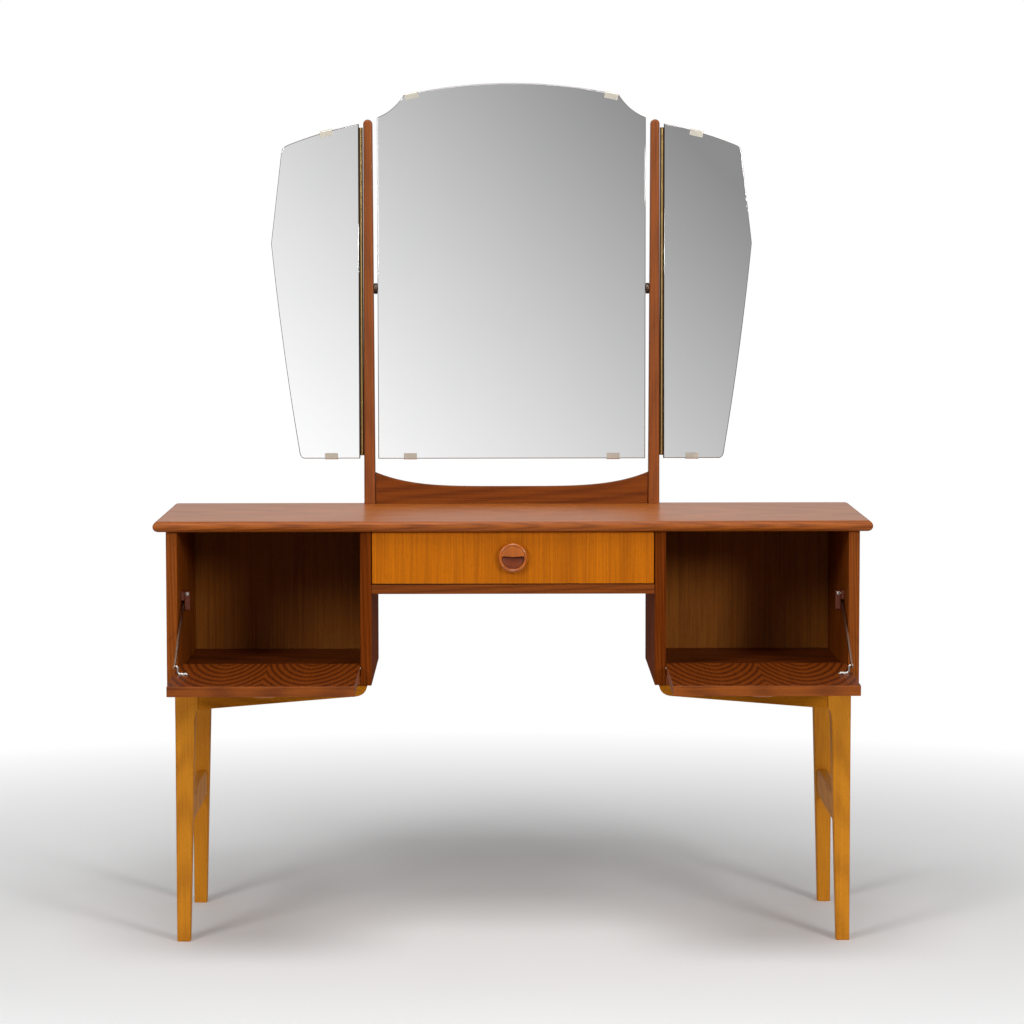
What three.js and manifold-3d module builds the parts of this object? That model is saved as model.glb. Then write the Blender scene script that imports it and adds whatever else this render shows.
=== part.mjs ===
// A teak dressing table with a three-leaf mirror.  Millimetres, +Z up, +X to the sitter's right.
// The origin is on the floor, under the middle of the table's outline with both flaps let down.
// It is drawn with Y counted back from the tabletop's front edge, and moved to the origin as a group.
import * as THREE from "three";
import { mergeVertices } from "three/addons/utils/BufferGeometryUtils.js";
import Module from "manifold-3d";

const wasm = await Module();
wasm.setup();

// ---- driving dimensions ----
const GAP = 0.3; // between pieces that touch

// tabletop
const TOP_WIDTH = 1200;
const TOP_DEPTH = 396;
const TOP_Z = 711; // upper face
const TOP_THICK = 18;

// the two cabinets
const BOARD = 18.5; // side boards
const OUTER_X = 579.3; // outer face of the outer sides
const INNER_X = 237; // kneehole face of the inner sides
const CASE_FRONT = 15; // the cabinets stand back from the tabletop's edge
const CASE_BACK = 384;
const CASE_Z = 434; // underside
const FLOOR_TOP = 453.5;
const FLOOR_REBATE = 4; // step in the floor's front edge that the closed flap stands in
const REBATE_DEPTH = 23.8;
const BACK_THICK = 4;
const BACK_INSET = 4; // the backs stand this far inside the sides' rear edges
const FRONT_REVEAL = 1; // rail, drawer and floors lie this far behind the sides' front edges

// drawer and its bay
const RAIL_Z = [588, 603.6]; // the rail under the drawer
const RAIL_DEPTH = 18;
const BAY_BACK_THICK = 12;
const RUNNER_WIDTH = 20;
const DRAWER_Z = [605.2, 691.6];
const DRAWER_FRONT_THICK = 16;
const DRAWER_FRONT_FIT = 1.5; // gap at each end of the front
const DRAWER_SIDE_FIT = 2; // gap outside each drawer side
const DRAWER_LIFT = 0.6; // above the runners
const DRAWER_SIDE_TALL = 69.4;
const DRAWER_BACK_Y = 345;
const DRAWER_BACK_DROP = 6; // the back is lower than the sides
const DRAWER_BOARD = 10;
const DRAWER_BOTTOM = 4;
const DRAWER_BOTTOM_UP = 5; // the bottom's height above the sides' lower edges

// knobs
const KNOB_R = 25.5;
const KNOB_DEEP = 13.5;
const KNOB_Z = 649.5; // the drawer knob's middle
const HOLLOW_R = 20.5; // half-moon finger hollow
const HOLLOW_LIP = 2; // its straight lip, above the knob's middle
const HOLLOW_FLOOR = 4; // its floor, from the knob's back
const FLAP_KNOB_DOWN = 97; // knob centre below the flap's upper edge

// flaps
const FLAP_THICK = 17;
const FLAP_DROOP = THREE.MathUtils.degToRad(1.73); // the open flap hangs this far below level
const PIVOT_Y = 24.5; // flap pins
const PIVOT_Z = 461.05;
const FLAP_OUT = 9.5; // pin to outer face
const FLAP_IN = FLAP_THICK - FLAP_OUT; // pin to inner face
const FLAP_LOW = 10.5; // pin to lower edge
const FLAP_HIGH = 230.4; // pin to upper edge
const FLAP_CLEAR = 1; // gap at each end of a flap

// stays
const STAY_X = 557; // plane of the stay rods
const STAY_FOOT = 109; // from the flap's pins to the rod's pin, along the flap
const STAY_PIN = 14.2; // rod's pin above the flap's inner face
const FOOT_WIRE = 1.7; // the foot's wire, its radius
const FOOT_BEND = 3;
const FOOT_SPAN = [20, 5]; // the foot's inner end and its upright, inside the plane of the rods
const FOOT_PIN_PAST = 2.6; // the foot's pin passes the plane of the rods by this
const PAD_R = 3; // screwed pads that hold the foot
const PAD_THICK = 1.6;
const PAD_STEP = 8;
const ROD_R = 2;
const EYE_R = 4.4;
const EYE_HALF = 1.8; // half the eye's thickness
const EYE_HOLE = 2.1;
const COLLAR_R = 3.4;
const COLLAR_LONG = 4;
const COLLAR_CLEAR = 8; // collar behind the guide, for the guide's turn
const ROD_PAST = 2.4; // the rod runs this far past its collar
const GUIDE_Y = 85; // where the rod passes its guide
const GUIDE_Z = 568;
const GUIDE_HALF = 8; // half its thickness along Y
const GUIDE_TALL = 35;
const GUIDE_WIDE = 15;
const GUIDE_ROUND = 5;
const GUIDE_RISE = 2; // the block's middle stands a little above the rod
const GUIDE_WALL_GAP = 0.5;
const GUIDE_SLOT = 13.4; // height of the guide's slot, which leaves room for the rod's wander
const GUIDE_SLOT_RISE = -0.6; // the rod wanders lower, as the flap closes, than it wanders up

// legs, rails and stretchers
const LEG_FRONT = 18;
const LEG_BACK = 384;
const LEG_X = 566.5; // outer face of the legs
const LEG_TOP_X = 528; // where the leg meets its rail
const LEG_FOOT_X = 544;
const LEG_BEND = [534, 368]; // the inner edge turns out to the rail above this point
const LEG_BEND_PULL = [533.6, 389.4]; // control point of that curve
const LEG_DEEP = [22, 36]; // front to back, at the foot and at the top
const RAIL_DEEP = 24;
const RAIL_LOW = [393.4, 414.9]; // underside of the rails, at the leg and near the inner end
const RAIL_END = [266, 244.5]; // where the inner end's curve starts and stops
const RAIL_END_PULL = [246.5, 416.4]; // control point of that curve
const STRETCHER_X = [541, 559];
const STRETCHER_Z = [195.5, 239.5];

// mirror posts and the rail between them
const POST_Y = [371, 395.5];
const POST_TOP = 1387;
const POST_X = [241.2, 261]; // at the tabletop
const POST_TOP_X = [244.2, 260];
const POST_ROUND = 3;
const CREST_Y = [376, 390]; // rail between the posts
const CREST_Z = [741.4, 766.5]; // its upper edge, in the middle and at the posts

// mirrors
const GLASS = [374.7, 378.7];
const BACKING = [379, 388];
const EDGE_IN = 0.6; // the backing boards are a little smaller than their glass
const MIRROR_HALF = 236;
const MIRROR_Z = [790.8, 1450.5];
const SHOULDER = [188.9, 1429.8]; // where the arched top meets the cove at its corner
const COVE_PULL = [206.4, 1401.8];
const COVE_END = 1390.6;
const TILT_Z = 1091;
const TILT_Y = 383.5;
const PIVOT_STUD = 3; // radius of the stud in the post
const PIVOT_SPIGOT = 2.5; // radius of the spigot in the backing board
const PIVOT_DISC = 9.5;
const PIVOT_HOLE = 20; // depth of the spigot's hole
const POST_HOLE = 14;
const WING_X = 268; // inner edge of the wing mirrors
const WING_Z = 791.2; // their lower edge
const WING_TOP = [1379.4, 1338.5]; // at the inner edge and at the outer corner
const WING_FOOT = [366, 375.8]; // the rounded lower corner, from its start to its end
const WING_WAIST = [423, 1170.5]; // the widest place
const WING_CORNER = [404, 1331]; // the outer corner, just below its rounding
const WING_PIN = [264.3, 374]; // hinge barrel
const HINGE_Z = [797, 1373];
const BARREL_R = 1.5;
const LEAF_THICK = 0.8;
const LEAF_GAP = 0.4; // between the leaf and the wing's edge

// clips, each a bent strip over the mirror's edge
const CLIP_WIDE = 23;
const CLIP_TAB = 10;
const CLIP_SHEET = 0.8;
const CENTRE_CLIP_X = { top: 175.8, bottom: 179.3 };
const WING_CLIP_TOP = [326, 1367.2];
const WING_CLIP_TURN = 0.236; // slope of the wing's top edge there
const WING_CLIP_BOTTOM_X = 318.6;

// ---- places that follow from them ----
const UNDER = TOP_Z - TOP_THICK; // underside of the tabletop
const CASE_TOP = UNDER - GAP;
const OPEN_X = [INNER_X + BOARD, OUTER_X - BOARD]; // the cabinet's opening
const RAIL_FRONT = CASE_FRONT + FRONT_REVEAL;
const FLAP_X = [OPEN_X[0] + FLAP_CLEAR, OPEN_X[1] - FLAP_CLEAR];
const FLAP_FRONT = PIVOT_Y - FLAP_HIGH * Math.cos(FLAP_DROOP) - FLAP_IN * Math.sin(FLAP_DROOP);
const ORIGIN_Y = (FLAP_FRONT + TOP_DEPTH) / 2;
const LEG_TOP = CASE_Z - GAP;
const FOOT = TOP_Z + GAP; // what stands on the tabletop starts here
const SIDES = { left: -1, right: 1 };

// ---- finishes ----
const finish = (color, roughness, metalness = 0) =>
  new THREE.MeshStandardMaterial({ color, roughness, metalness });
const teak = finish(0x9a5523, 0.45);
const teakSheen = finish(0xb87a4e, 0.35);
const honeyTeak = finish(0xbd7414, 0.4);
const darkTeak = finish(0x4d2408, 0.6);
const beech = finish(0xc48a36, 0.45);
const hardboard = finish(0x6b4013, 0.8);
const drawerWood = finish(0xcaa26a, 0.6);
const mirrorGlass = finish(0xd9dcde, 0.02, 1);
const backingPly = finish(0x4a2c18, 0.7);
const brightMetal = finish(0xc9c6bd, 0.25, 1);
const brass = finish(0xb59a5e, 0.35, 1);
const darkMetal = finish(0x3a3430, 0.35, 1);
const brownPlastic = finish(0x7a3a1c, 0.4);

// ---- shape helpers ----
const part = new THREE.Group();
const carcass = new THREE.Group();
carcass.position.y = -ORIGIN_Y;
part.add(carcass);

function add(name, geometry, material, group = carcass) {
  const mesh = new THREE.Mesh(geometry, material.clone());
  mesh.name = name;
  group.add(mesh);
  return mesh;
}

// A box from its low and high limits on each axis; limits may come in either order.
function box(x, y, z) {
  const size = [x, y, z].map(([a, b]) => Math.abs(b - a));
  const mid = [x, y, z].map(([a, b]) => (a + b) / 2);
  return new THREE.BoxGeometry(...size).translate(...mid);
}

// An outline in X and Z, carried along Y.
function alongY(shape, y0, y1, curveSegments = 8, extra = {}) {
  const round = extra.bevelThickness ?? 0;
  const depth = y1 - y0 - 2 * round;
  const settings = { depth, bevelEnabled: false, curveSegments, ...extra };
  const geometry = new THREE.ExtrudeGeometry(shape, settings);
  return geometry.rotateX(Math.PI / 2).translate(0, y1 - round, 0);
}

// An outline in Y and Z, carried along X.
function alongX(shape, x0, x1, curveSegments = 8) {
  const depth = Math.abs(x1 - x0);
  const geometry = new THREE.ExtrudeGeometry(shape, { depth, bevelEnabled: false, curveSegments });
  const turn = new THREE.Matrix4().set(0, 0, 1, 0, 1, 0, 0, 0, 0, 1, 0, 0, 0, 0, 0, 1);
  return geometry.applyMatrix4(turn).translate(Math.min(x0, x1), 0, 0);
}

function outline(points) {
  return new THREE.Shape(points.map(([u, v]) => new THREE.Vector2(u, v)));
}

function solid(geometry) {
  const bare = geometry.clone();
  bare.deleteAttribute("normal");
  bare.deleteAttribute("uv");
  const merged = mergeVertices(bare, 1e-4);
  return new wasm.Manifold(
    new wasm.Mesh({
      numProp: 3,
      vertProperties: new Float32Array(merged.attributes.position.array),
      triVerts: new Uint32Array(merged.index.array),
    }),
  );
}

function geometryOf(manifold) {
  const mesh = manifold.getMesh();
  const geometry = new THREE.BufferGeometry();
  geometry.setAttribute("position", new THREE.BufferAttribute(mesh.vertProperties, 3));
  geometry.setIndex(new THREE.BufferAttribute(mesh.triVerts, 1));
  return geometry;
}

const lessTool = (left, tool) => left.subtract(solid(tool));
const plusPiece = (sum, other) => sum.add(solid(other));
const cut = (base, ...tools) => geometryOf(tools.reduce(lessTool, solid(base)));
const join = (base, ...others) => geometryOf(others.reduce(plusPiece, solid(base)));
const common = (a, b) => geometryOf(solid(a).intersect(solid(b)));

function cylinderX(radius, x0, x1, y, z, segments = 20) {
  const geometry = new THREE.CylinderGeometry(radius, radius, Math.abs(x1 - x0), segments);
  return geometry.rotateZ(Math.PI / 2).translate((x0 + x1) / 2, y, z);
}

// ---- tabletop: half-round nosing on the front and both ends, square at the back ----
function tabletop() {
  const r = TOP_THICK / 2;
  const mid = TOP_Z - r;
  const side = new THREE.Shape();
  side.moveTo(TOP_DEPTH, UNDER);
  side.lineTo(TOP_DEPTH, TOP_Z);
  side.lineTo(r, TOP_Z);
  side.absarc(r, mid, r, Math.PI / 2, (3 * Math.PI) / 2, false);
  const end = TOP_WIDTH / 2 - r;
  const front = new THREE.Shape();
  front.moveTo(-end, UNDER);
  front.absarc(end, mid, r, -Math.PI / 2, Math.PI / 2, false);
  front.absarc(-end, mid, r, Math.PI / 2, (3 * Math.PI) / 2, false);
  const reach = TOP_WIDTH / 2 + 1;
  return common(alongX(side, -reach, reach, 10), alongY(front, -1, TOP_DEPTH + 1, 10));
}
add("tabletop", tabletop(), teakSheen);

// ---- the carcass: sides, floors and backs of the two cabinets ----
for (const [hand, s] of Object.entries(SIDES)) {
  const at = (range) => range.map((v) => v * s);
  const caseY = [CASE_FRONT, CASE_BACK];
  const caseZ = [CASE_Z, CASE_TOP];
  add(`${hand}_outer_side`, box(at([OPEN_X[1], OUTER_X]), caseY, caseZ), teak);
  add(`${hand}_inner_side`, box(at([INNER_X, OPEN_X[0]]), caseY, caseZ), teak);
  const between = [OPEN_X[0] + GAP, OPEN_X[1] - GAP];
  const backY = [CASE_BACK - BACK_INSET - BACK_THICK, CASE_BACK - BACK_INSET];
  const step = CASE_FRONT + REBATE_DEPTH;
  const floorShape = outline([
    [RAIL_FRONT, CASE_Z],
    [backY[0] - GAP, CASE_Z],
    [backY[0] - GAP, FLOOR_TOP],
    [step, FLOOR_TOP],
    [step, FLOOR_TOP - FLOOR_REBATE],
    [RAIL_FRONT, FLOOR_TOP - FLOOR_REBATE],
  ]);
  add(`${hand}_cabinet_floor`, alongX(floorShape, ...at(between)), darkTeak);
  add(`${hand}_cabinet_back`, box(at(between), backY, [CASE_Z + GAP, CASE_TOP]), hardboard);
}

// ---- the drawer bay between the inner sides ----
const bayX = [-INNER_X + GAP, INNER_X - GAP];
const bayBackY = [CASE_BACK - BACK_INSET - BAY_BACK_THICK, CASE_BACK - BACK_INSET];
add("drawer_rail", box(bayX, [RAIL_FRONT, RAIL_FRONT + RAIL_DEPTH], RAIL_Z), teak);
add("drawer_bay_back", box(bayX, bayBackY, [RAIL_Z[0], CASE_TOP]), darkTeak);
for (const [hand, s] of Object.entries(SIDES)) {
  const runnerX = [s * (INNER_X - GAP), s * (INNER_X - RUNNER_WIDTH)];
  const runnerY = [RAIL_FRONT + RAIL_DEPTH + GAP, bayBackY[0] - GAP];
  add(`${hand}_drawer_runner`, box(runnerX, runnerY, RAIL_Z), drawerWood);
}

// ---- round knob with a half-moon finger hollow, its axis along -Y and its back at y = 0 ----
function knob() {
  const profile = [
    [0, 0],
    [KNOB_R - 3.5, 0],
    [KNOB_R - 1, 2.5],
    [KNOB_R, 6],
    [KNOB_R - 0.8, 9.5],
    [KNOB_R - 3, 12],
    [KNOB_R - 6, KNOB_DEEP],
    [0, KNOB_DEEP],
  ].map(([r, h]) => new THREE.Vector2(r, h));
  const body = new THREE.LatheGeometry(profile, 40).rotateX(Math.PI);
  const start = Math.asin(HOLLOW_LIP / HOLLOW_R);
  const moon = new THREE.Shape();
  moon.absarc(0, 0, HOLLOW_R, Math.PI - start, 2 * Math.PI + start, false);
  return cut(body, alongY(moon, -KNOB_DEEP - 2, -HOLLOW_FLOOR, 20));
}

// ---- drawer ----
const boxFrontY = RAIL_FRONT + DRAWER_FRONT_THICK + GAP;
const boxX = INNER_X - DRAWER_SIDE_FIT;
const boxLow = RAIL_Z[1] + DRAWER_LIFT;
const boxZ = [boxLow, boxLow + DRAWER_SIDE_TALL];
const frontX = [-INNER_X + DRAWER_FRONT_FIT, INNER_X - DRAWER_FRONT_FIT];
add("drawer_front", box(frontX, [RAIL_FRONT, RAIL_FRONT + DRAWER_FRONT_THICK], DRAWER_Z), honeyTeak);
for (const [hand, s] of Object.entries(SIDES)) {
  const sideX = [s * boxX, s * (boxX - DRAWER_BOARD)];
  add(`drawer_${hand}_side`, box(sideX, [boxFrontY, DRAWER_BACK_Y], boxZ), drawerWood);
}
const insideX = boxX - DRAWER_BOARD - GAP;
const bottomLow = boxLow + DRAWER_BOTTOM_UP;
const bottomZ = [bottomLow, bottomLow + DRAWER_BOTTOM];
const backZ = [bottomZ[1] + GAP, boxZ[1] - DRAWER_BACK_DROP];
const drawerBackY = [DRAWER_BACK_Y - DRAWER_BOARD, DRAWER_BACK_Y];
add("drawer_back", box([-insideX, insideX], drawerBackY, backZ), drawerWood);
add("drawer_bottom", box([-insideX, insideX], [boxFrontY, DRAWER_BACK_Y - 1], bottomZ), drawerWood);
add("drawer_knob", knob().translate(0, RAIL_FRONT - GAP, KNOB_Z), teak);

// ---- flaps, drawn level about their pins and let down by the droop ----
function flapPanel(s) {
  const shape = new THREE.Shape(); // Y and Z about the pin axis, the inner face upwards
  shape.moveTo(-FLAP_HIGH, -FLAP_OUT);
  shape.lineTo(FLAP_LOW - FLAP_OUT, -FLAP_OUT);
  shape.absarc(FLAP_LOW - FLAP_OUT, 0, FLAP_OUT, -Math.PI / 2, 0, false);
  shape.lineTo(FLAP_LOW, FLAP_IN);
  shape.lineTo(-FLAP_HIGH, FLAP_IN);
  return alongX(shape, s * FLAP_X[0], s * FLAP_X[1], 8);
}

// A bent wire along X on the flap, turned up to the pin that the rod's eye hangs on.
function stayFoot(s) {
  const low = FLAP_IN + GAP + FOOT_WIRE;
  const high = FLAP_IN + STAY_PIN;
  const start = STAY_X - FOOT_SPAN[0];
  const rise = STAY_X - FOOT_SPAN[1];
  const point = (x, z) => new THREE.Vector3(s * x, -STAY_FOOT, z);
  const line = (a, b) => new THREE.LineCurve3(point(...a), point(...b));
  const bend = (a, b, c) => new THREE.QuadraticBezierCurve3(point(...a), point(...b), point(...c));
  const path = new THREE.CurvePath();
  path.add(line([start, low], [rise - FOOT_BEND, low]));
  path.add(bend([rise - FOOT_BEND, low], [rise, low], [rise, low + FOOT_BEND]));
  path.add(line([rise, low + FOOT_BEND], [rise, high - FOOT_BEND]));
  path.add(bend([rise, high - FOOT_BEND], [rise, high], [rise + FOOT_BEND, high]));
  path.add(line([rise + FOOT_BEND, high], [STAY_X + FOOT_PIN_PAST, high]));
  const section = new THREE.Shape();
  section.absarc(0, 0, FOOT_WIRE, 0, 2 * Math.PI, false);
  const wire = new THREE.ExtrudeGeometry(section, { steps: 36, extrudePath: path, curveSegments: 5 });
  const pads = [0, 1].map((k) => {
    const pad = new THREE.CylinderGeometry(PAD_R, PAD_R, PAD_THICK, 16).rotateX(Math.PI / 2);
    return pad.translate(s * (start + PAD_STEP * k), -STAY_FOOT, FLAP_IN + GAP + PAD_THICK / 2);
  });
  return join(wire, ...pads);
}

// Where the rod's pin is with the flap open, in Y and Z.
const pinOnFlap = new THREE.Vector2(-STAY_FOOT, FLAP_IN + STAY_PIN);
const pinTurned = pinOnFlap.rotateAround(new THREE.Vector2(), FLAP_DROOP);
const PIN_Y = PIVOT_Y + pinTurned.x;
const PIN_Z = PIVOT_Z + pinTurned.y;
const rodAngle = Math.atan2(GUIDE_Z - PIN_Z, GUIDE_Y - PIN_Y);
const rodReach = Math.hypot(GUIDE_Z - PIN_Z, GUIDE_Y - PIN_Y);

// The rod runs along +Y from its eye at the origin; a collar behind the guide stops the open flap.
function stayRod() {
  const eye = cylinderX(EYE_R, -EYE_HALF, EYE_HALF, 0, 0, 24);
  const hole = cylinderX(EYE_HOLE, -EYE_HALF - 1, EYE_HALF + 1, 0, 0, 16);
  const collarAt = rodReach + GUIDE_HALF / Math.cos(rodAngle) + COLLAR_CLEAR;
  const rodStart = EYE_R - 1;
  const rodEnd = collarAt + COLLAR_LONG + ROD_PAST;
  const rod = new THREE.CylinderGeometry(ROD_R, ROD_R, rodEnd - rodStart, 12);
  const collar = new THREE.CylinderGeometry(COLLAR_R, COLLAR_R, COLLAR_LONG, 16);
  rod.translate(0, (rodStart + rodEnd) / 2, 0);
  collar.translate(0, collarAt + COLLAR_LONG / 2, 0);
  return cut(join(eye, rod, collar), hole);
}

// The guide is a rounded block with a groove on its wall side, sloping with the rod.
function stayGuide(s) {
  const wall = OPEN_X[1] - GUIDE_WALL_GAP - STAY_X;
  const across = GUIDE_HALF - GUIDE_ROUND;
  const [low, high] = [-1, 1].map((k) => k * (GUIDE_TALL / 2 - GUIDE_ROUND) + GUIDE_RISE);
  const shape = new THREE.Shape();
  shape.moveTo(-GUIDE_HALF, low);
  shape.absarc(-across, low, GUIDE_ROUND, Math.PI, 1.5 * Math.PI, false);
  shape.absarc(across, low, GUIDE_ROUND, -Math.PI / 2, 0, false);
  shape.absarc(across, high, GUIDE_ROUND, 0, Math.PI / 2, false);
  shape.absarc(-across, high, GUIDE_ROUND, Math.PI / 2, Math.PI, false);
  const block = alongX(shape, s * wall, s * (wall - GUIDE_WIDE), 5);
  const grooveX = [s * (-ROD_R - 0.5), s * (wall + 2)];
  const groove = box(grooveX, [-GUIDE_TALL, GUIDE_TALL], [-GUIDE_SLOT / 2, GUIDE_SLOT / 2]);
  groove.translate(0, 0, GUIDE_SLOT_RISE).rotateX(rodAngle);
  return cut(block, groove);
}

for (const [hand, s] of Object.entries(SIDES)) {
  const flap = new THREE.Group();
  flap.position.set(0, PIVOT_Y, PIVOT_Z);
  flap.rotation.x = FLAP_DROOP;
  carcass.add(flap);
  add(`${hand}_flap_panel`, flapPanel(s), teak, flap);
  const flapKnob = knob().rotateX(Math.PI / 2);
  const knobX = (s * (FLAP_X[0] + FLAP_X[1])) / 2;
  flapKnob.translate(knobX, FLAP_KNOB_DOWN - FLAP_HIGH, -FLAP_OUT - GAP);
  add(`${hand}_flap_knob`, flapKnob, teak, flap);
  add(`${hand}_stay_foot`, stayFoot(s), brightMetal, flap);
  const rod = add(`${hand}_stay_rod`, stayRod(), brightMetal);
  rod.position.set(s * STAY_X, PIN_Y, PIN_Z);
  rod.rotation.x = rodAngle;
  const guide = add(`${hand}_stay_guide`, stayGuide(s), brownPlastic);
  guide.position.set(s * STAY_X, GUIDE_Y, GUIDE_Z);
}

// ---- legs, rails and stretchers ----
const legDepth = (z) => LEG_DEEP[0] + ((LEG_DEEP[1] - LEG_DEEP[0]) * z) / LEG_TOP;

// A leg tapers to its foot in both directions; `faceY` is its straight face and `inward` points to
// the other leg.
function leg(s, faceY, inward) {
  const front = new THREE.Shape();
  front.moveTo(s * LEG_X, 0);
  front.lineTo(s * LEG_X, LEG_TOP);
  front.lineTo(s * LEG_TOP_X, LEG_TOP);
  front.lineTo(s * LEG_TOP_X, RAIL_LOW[0]);
  front.quadraticCurveTo(s * LEG_BEND_PULL[0], LEG_BEND_PULL[1], s * LEG_BEND[0], LEG_BEND[1]);
  front.lineTo(s * LEG_FOOT_X, 0);
  const profile = outline([
    [faceY, 0],
    [faceY + inward * legDepth(0), 0],
    [faceY + inward * legDepth(LEG_TOP), LEG_TOP],
    [faceY, LEG_TOP],
  ]);
  const reach = LEG_DEEP[1] + 10;
  const fromFront = alongY(front, faceY - reach, faceY + reach, 8);
  const fromSide = alongX(profile, s * (LEG_TOP_X - 2), s * (LEG_X + 2));
  return common(fromFront, fromSide);
}

function legRail(s, y0, y1) {
  const shape = new THREE.Shape();
  shape.moveTo(s * (LEG_TOP_X - GAP), LEG_TOP);
  shape.lineTo(s * (LEG_TOP_X - GAP), RAIL_LOW[0]);
  shape.lineTo(s * RAIL_END[0], RAIL_LOW[1]);
  shape.quadraticCurveTo(s * RAIL_END_PULL[0], RAIL_END_PULL[1], s * RAIL_END[1], LEG_TOP);
  return alongY(shape, y0, y1, 10);
}

for (const [hand, s] of Object.entries(SIDES)) {
  add(`${hand}_front_leg`, leg(s, LEG_FRONT, 1), beech);
  add(`${hand}_rear_leg`, leg(s, LEG_BACK, -1), beech);
  add(`${hand}_front_rail`, legRail(s, LEG_FRONT, LEG_FRONT + RAIL_DEEP), beech);
  add(`${hand}_rear_rail`, legRail(s, LEG_BACK - RAIL_DEEP, LEG_BACK), beech);
  const [low, high] = STRETCHER_Z;
  const stretcher = outline([
    [LEG_FRONT + legDepth(low) + GAP, low],
    [LEG_BACK - legDepth(low) - GAP, low],
    [LEG_BACK - legDepth(high) - GAP, high],
    [LEG_FRONT + legDepth(high) + GAP, high],
  ]);
  add(`${hand}_stretcher`, alongX(stretcher, s * STRETCHER_X[0], s * STRETCHER_X[1]), beech);
}

// ---- mirror posts and the rail between them ----
function postInner(z) {
  const t = (z - TOP_Z) / (POST_TOP - TOP_Z);
  return POST_X[0] + (POST_TOP_X[0] - POST_X[0]) * t;
}

function mirrorPost(s) {
  const shape = new THREE.Shape();
  const r = (POST_TOP_X[1] - POST_TOP_X[0]) / 2;
  const mid = (POST_TOP_X[1] + POST_TOP_X[0]) / 2;
  shape.moveTo(s * POST_X[0], FOOT);
  shape.lineTo(s * POST_X[1], FOOT);
  shape.lineTo(s * POST_TOP_X[1], POST_TOP - r);
  shape.absarc(s * mid, POST_TOP - r, r, s > 0 ? 0 : Math.PI, s > 0 ? Math.PI : 0, s < 0);
  const round = { bevelEnabled: true, bevelThickness: POST_ROUND, bevelSize: POST_ROUND };
  const blank = alongY(shape, ...POST_Y, 10, { ...round, bevelOffset: -POST_ROUND, bevelSegments: 3 });
  const aroundX = [s * (POST_X[0] - 40), s * (POST_X[1] + 40)];
  const belowFoot = box(aroundX, [POST_Y[0] - 40, POST_Y[1] + 40], [UNDER, FOOT]);
  const inner = postInner(TILT_Z);
  const hole = cylinderX(PIVOT_STUD + 0.4, s * (inner - 4), s * (inner + POST_HOLE), TILT_Y, TILT_Z);
  return cut(blank, belowFoot, hole);
}

// The rail's upper edge is flat in the middle and sweeps up to the posts as a fourth power.
function crestRail() {
  const half = POST_X[0] - GAP;
  const steps = 24;
  const top = Array.from({ length: steps + 1 }, (_, i) => {
    const t = 1 - (2 * i) / steps;
    return [half * t, CREST_Z[0] + (CREST_Z[1] - CREST_Z[0]) * t ** 4];
  });
  return alongY(outline([[-half, FOOT], [half, FOOT], ...top]), ...CREST_Y);
}

add("mirror_rail", crestRail(), teak);
for (const [hand, s] of Object.entries(SIDES)) add(`${hand}_mirror_post`, mirrorPost(s), teak);

// ---- mirror clips: a bent strip over the glass edge, at (x, z) with its back to `angle` ----
function clip(name, x, z, angle) {
  const front = GLASS[0] - GAP - CLIP_SHEET;
  const back = BACKING[1] + GAP + CLIP_SHEET;
  const shape = outline([
    [front, -CLIP_TAB],
    [front, GAP + CLIP_SHEET],
    [back, GAP + CLIP_SHEET],
    [back, -CLIP_TAB],
    [back - CLIP_SHEET, -CLIP_TAB],
    [back - CLIP_SHEET, GAP],
    [front + CLIP_SHEET, GAP],
    [front + CLIP_SHEET, -CLIP_TAB],
  ]);
  const mesh = add(name, alongX(shape, -CLIP_WIDE / 2, CLIP_WIDE / 2), brightMetal);
  mesh.position.set(x, 0, z);
  mesh.rotation.y = -angle;
}

// ---- centre mirror ----
const ARCH_RISE = MIRROR_Z[1] - SHOULDER[1];
const ARCH_R = (SHOULDER[0] ** 2 + ARCH_RISE ** 2) / (2 * ARCH_RISE);

function centreOutline(inset = 0) {
  const half = MIRROR_HALF - inset;
  const low = MIRROR_Z[0] + inset;
  const reach = Math.asin(SHOULDER[0] / ARCH_R);
  const slant = inset * Math.SQRT1_2; // the cove runs at a slant, so its inset is shared between both axes
  const [px, pz] = COVE_PULL.map((v) => v - slant);
  const shape = new THREE.Shape();
  shape.moveTo(-half, low);
  shape.lineTo(half, low);
  shape.lineTo(half, COVE_END - inset);
  shape.quadraticCurveTo(px, pz, SHOULDER[0] - slant, SHOULDER[1] - inset);
  shape.absarc(0, MIRROR_Z[1] - inset - ARCH_R, ARCH_R, Math.PI / 2 - reach, Math.PI / 2 + reach, false);
  shape.lineTo(-SHOULDER[0] + slant, SHOULDER[1] - inset);
  shape.quadraticCurveTo(-px, pz, -half, COVE_END - inset);
  return shape;
}

add("centre_glass", alongY(centreOutline(), ...GLASS, 14), mirrorGlass);
const spigotHoles = Object.values(SIDES).map((s) => {
  const radius = PIVOT_SPIGOT + GAP;
  return cylinderX(radius, s * (MIRROR_HALF + 2), s * (MIRROR_HALF - PIVOT_HOLE), TILT_Y, TILT_Z, 16);
});
add("centre_backboard", cut(alongY(centreOutline(EDGE_IN), ...BACKING, 14), ...spigotHoles), backingPly);

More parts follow.
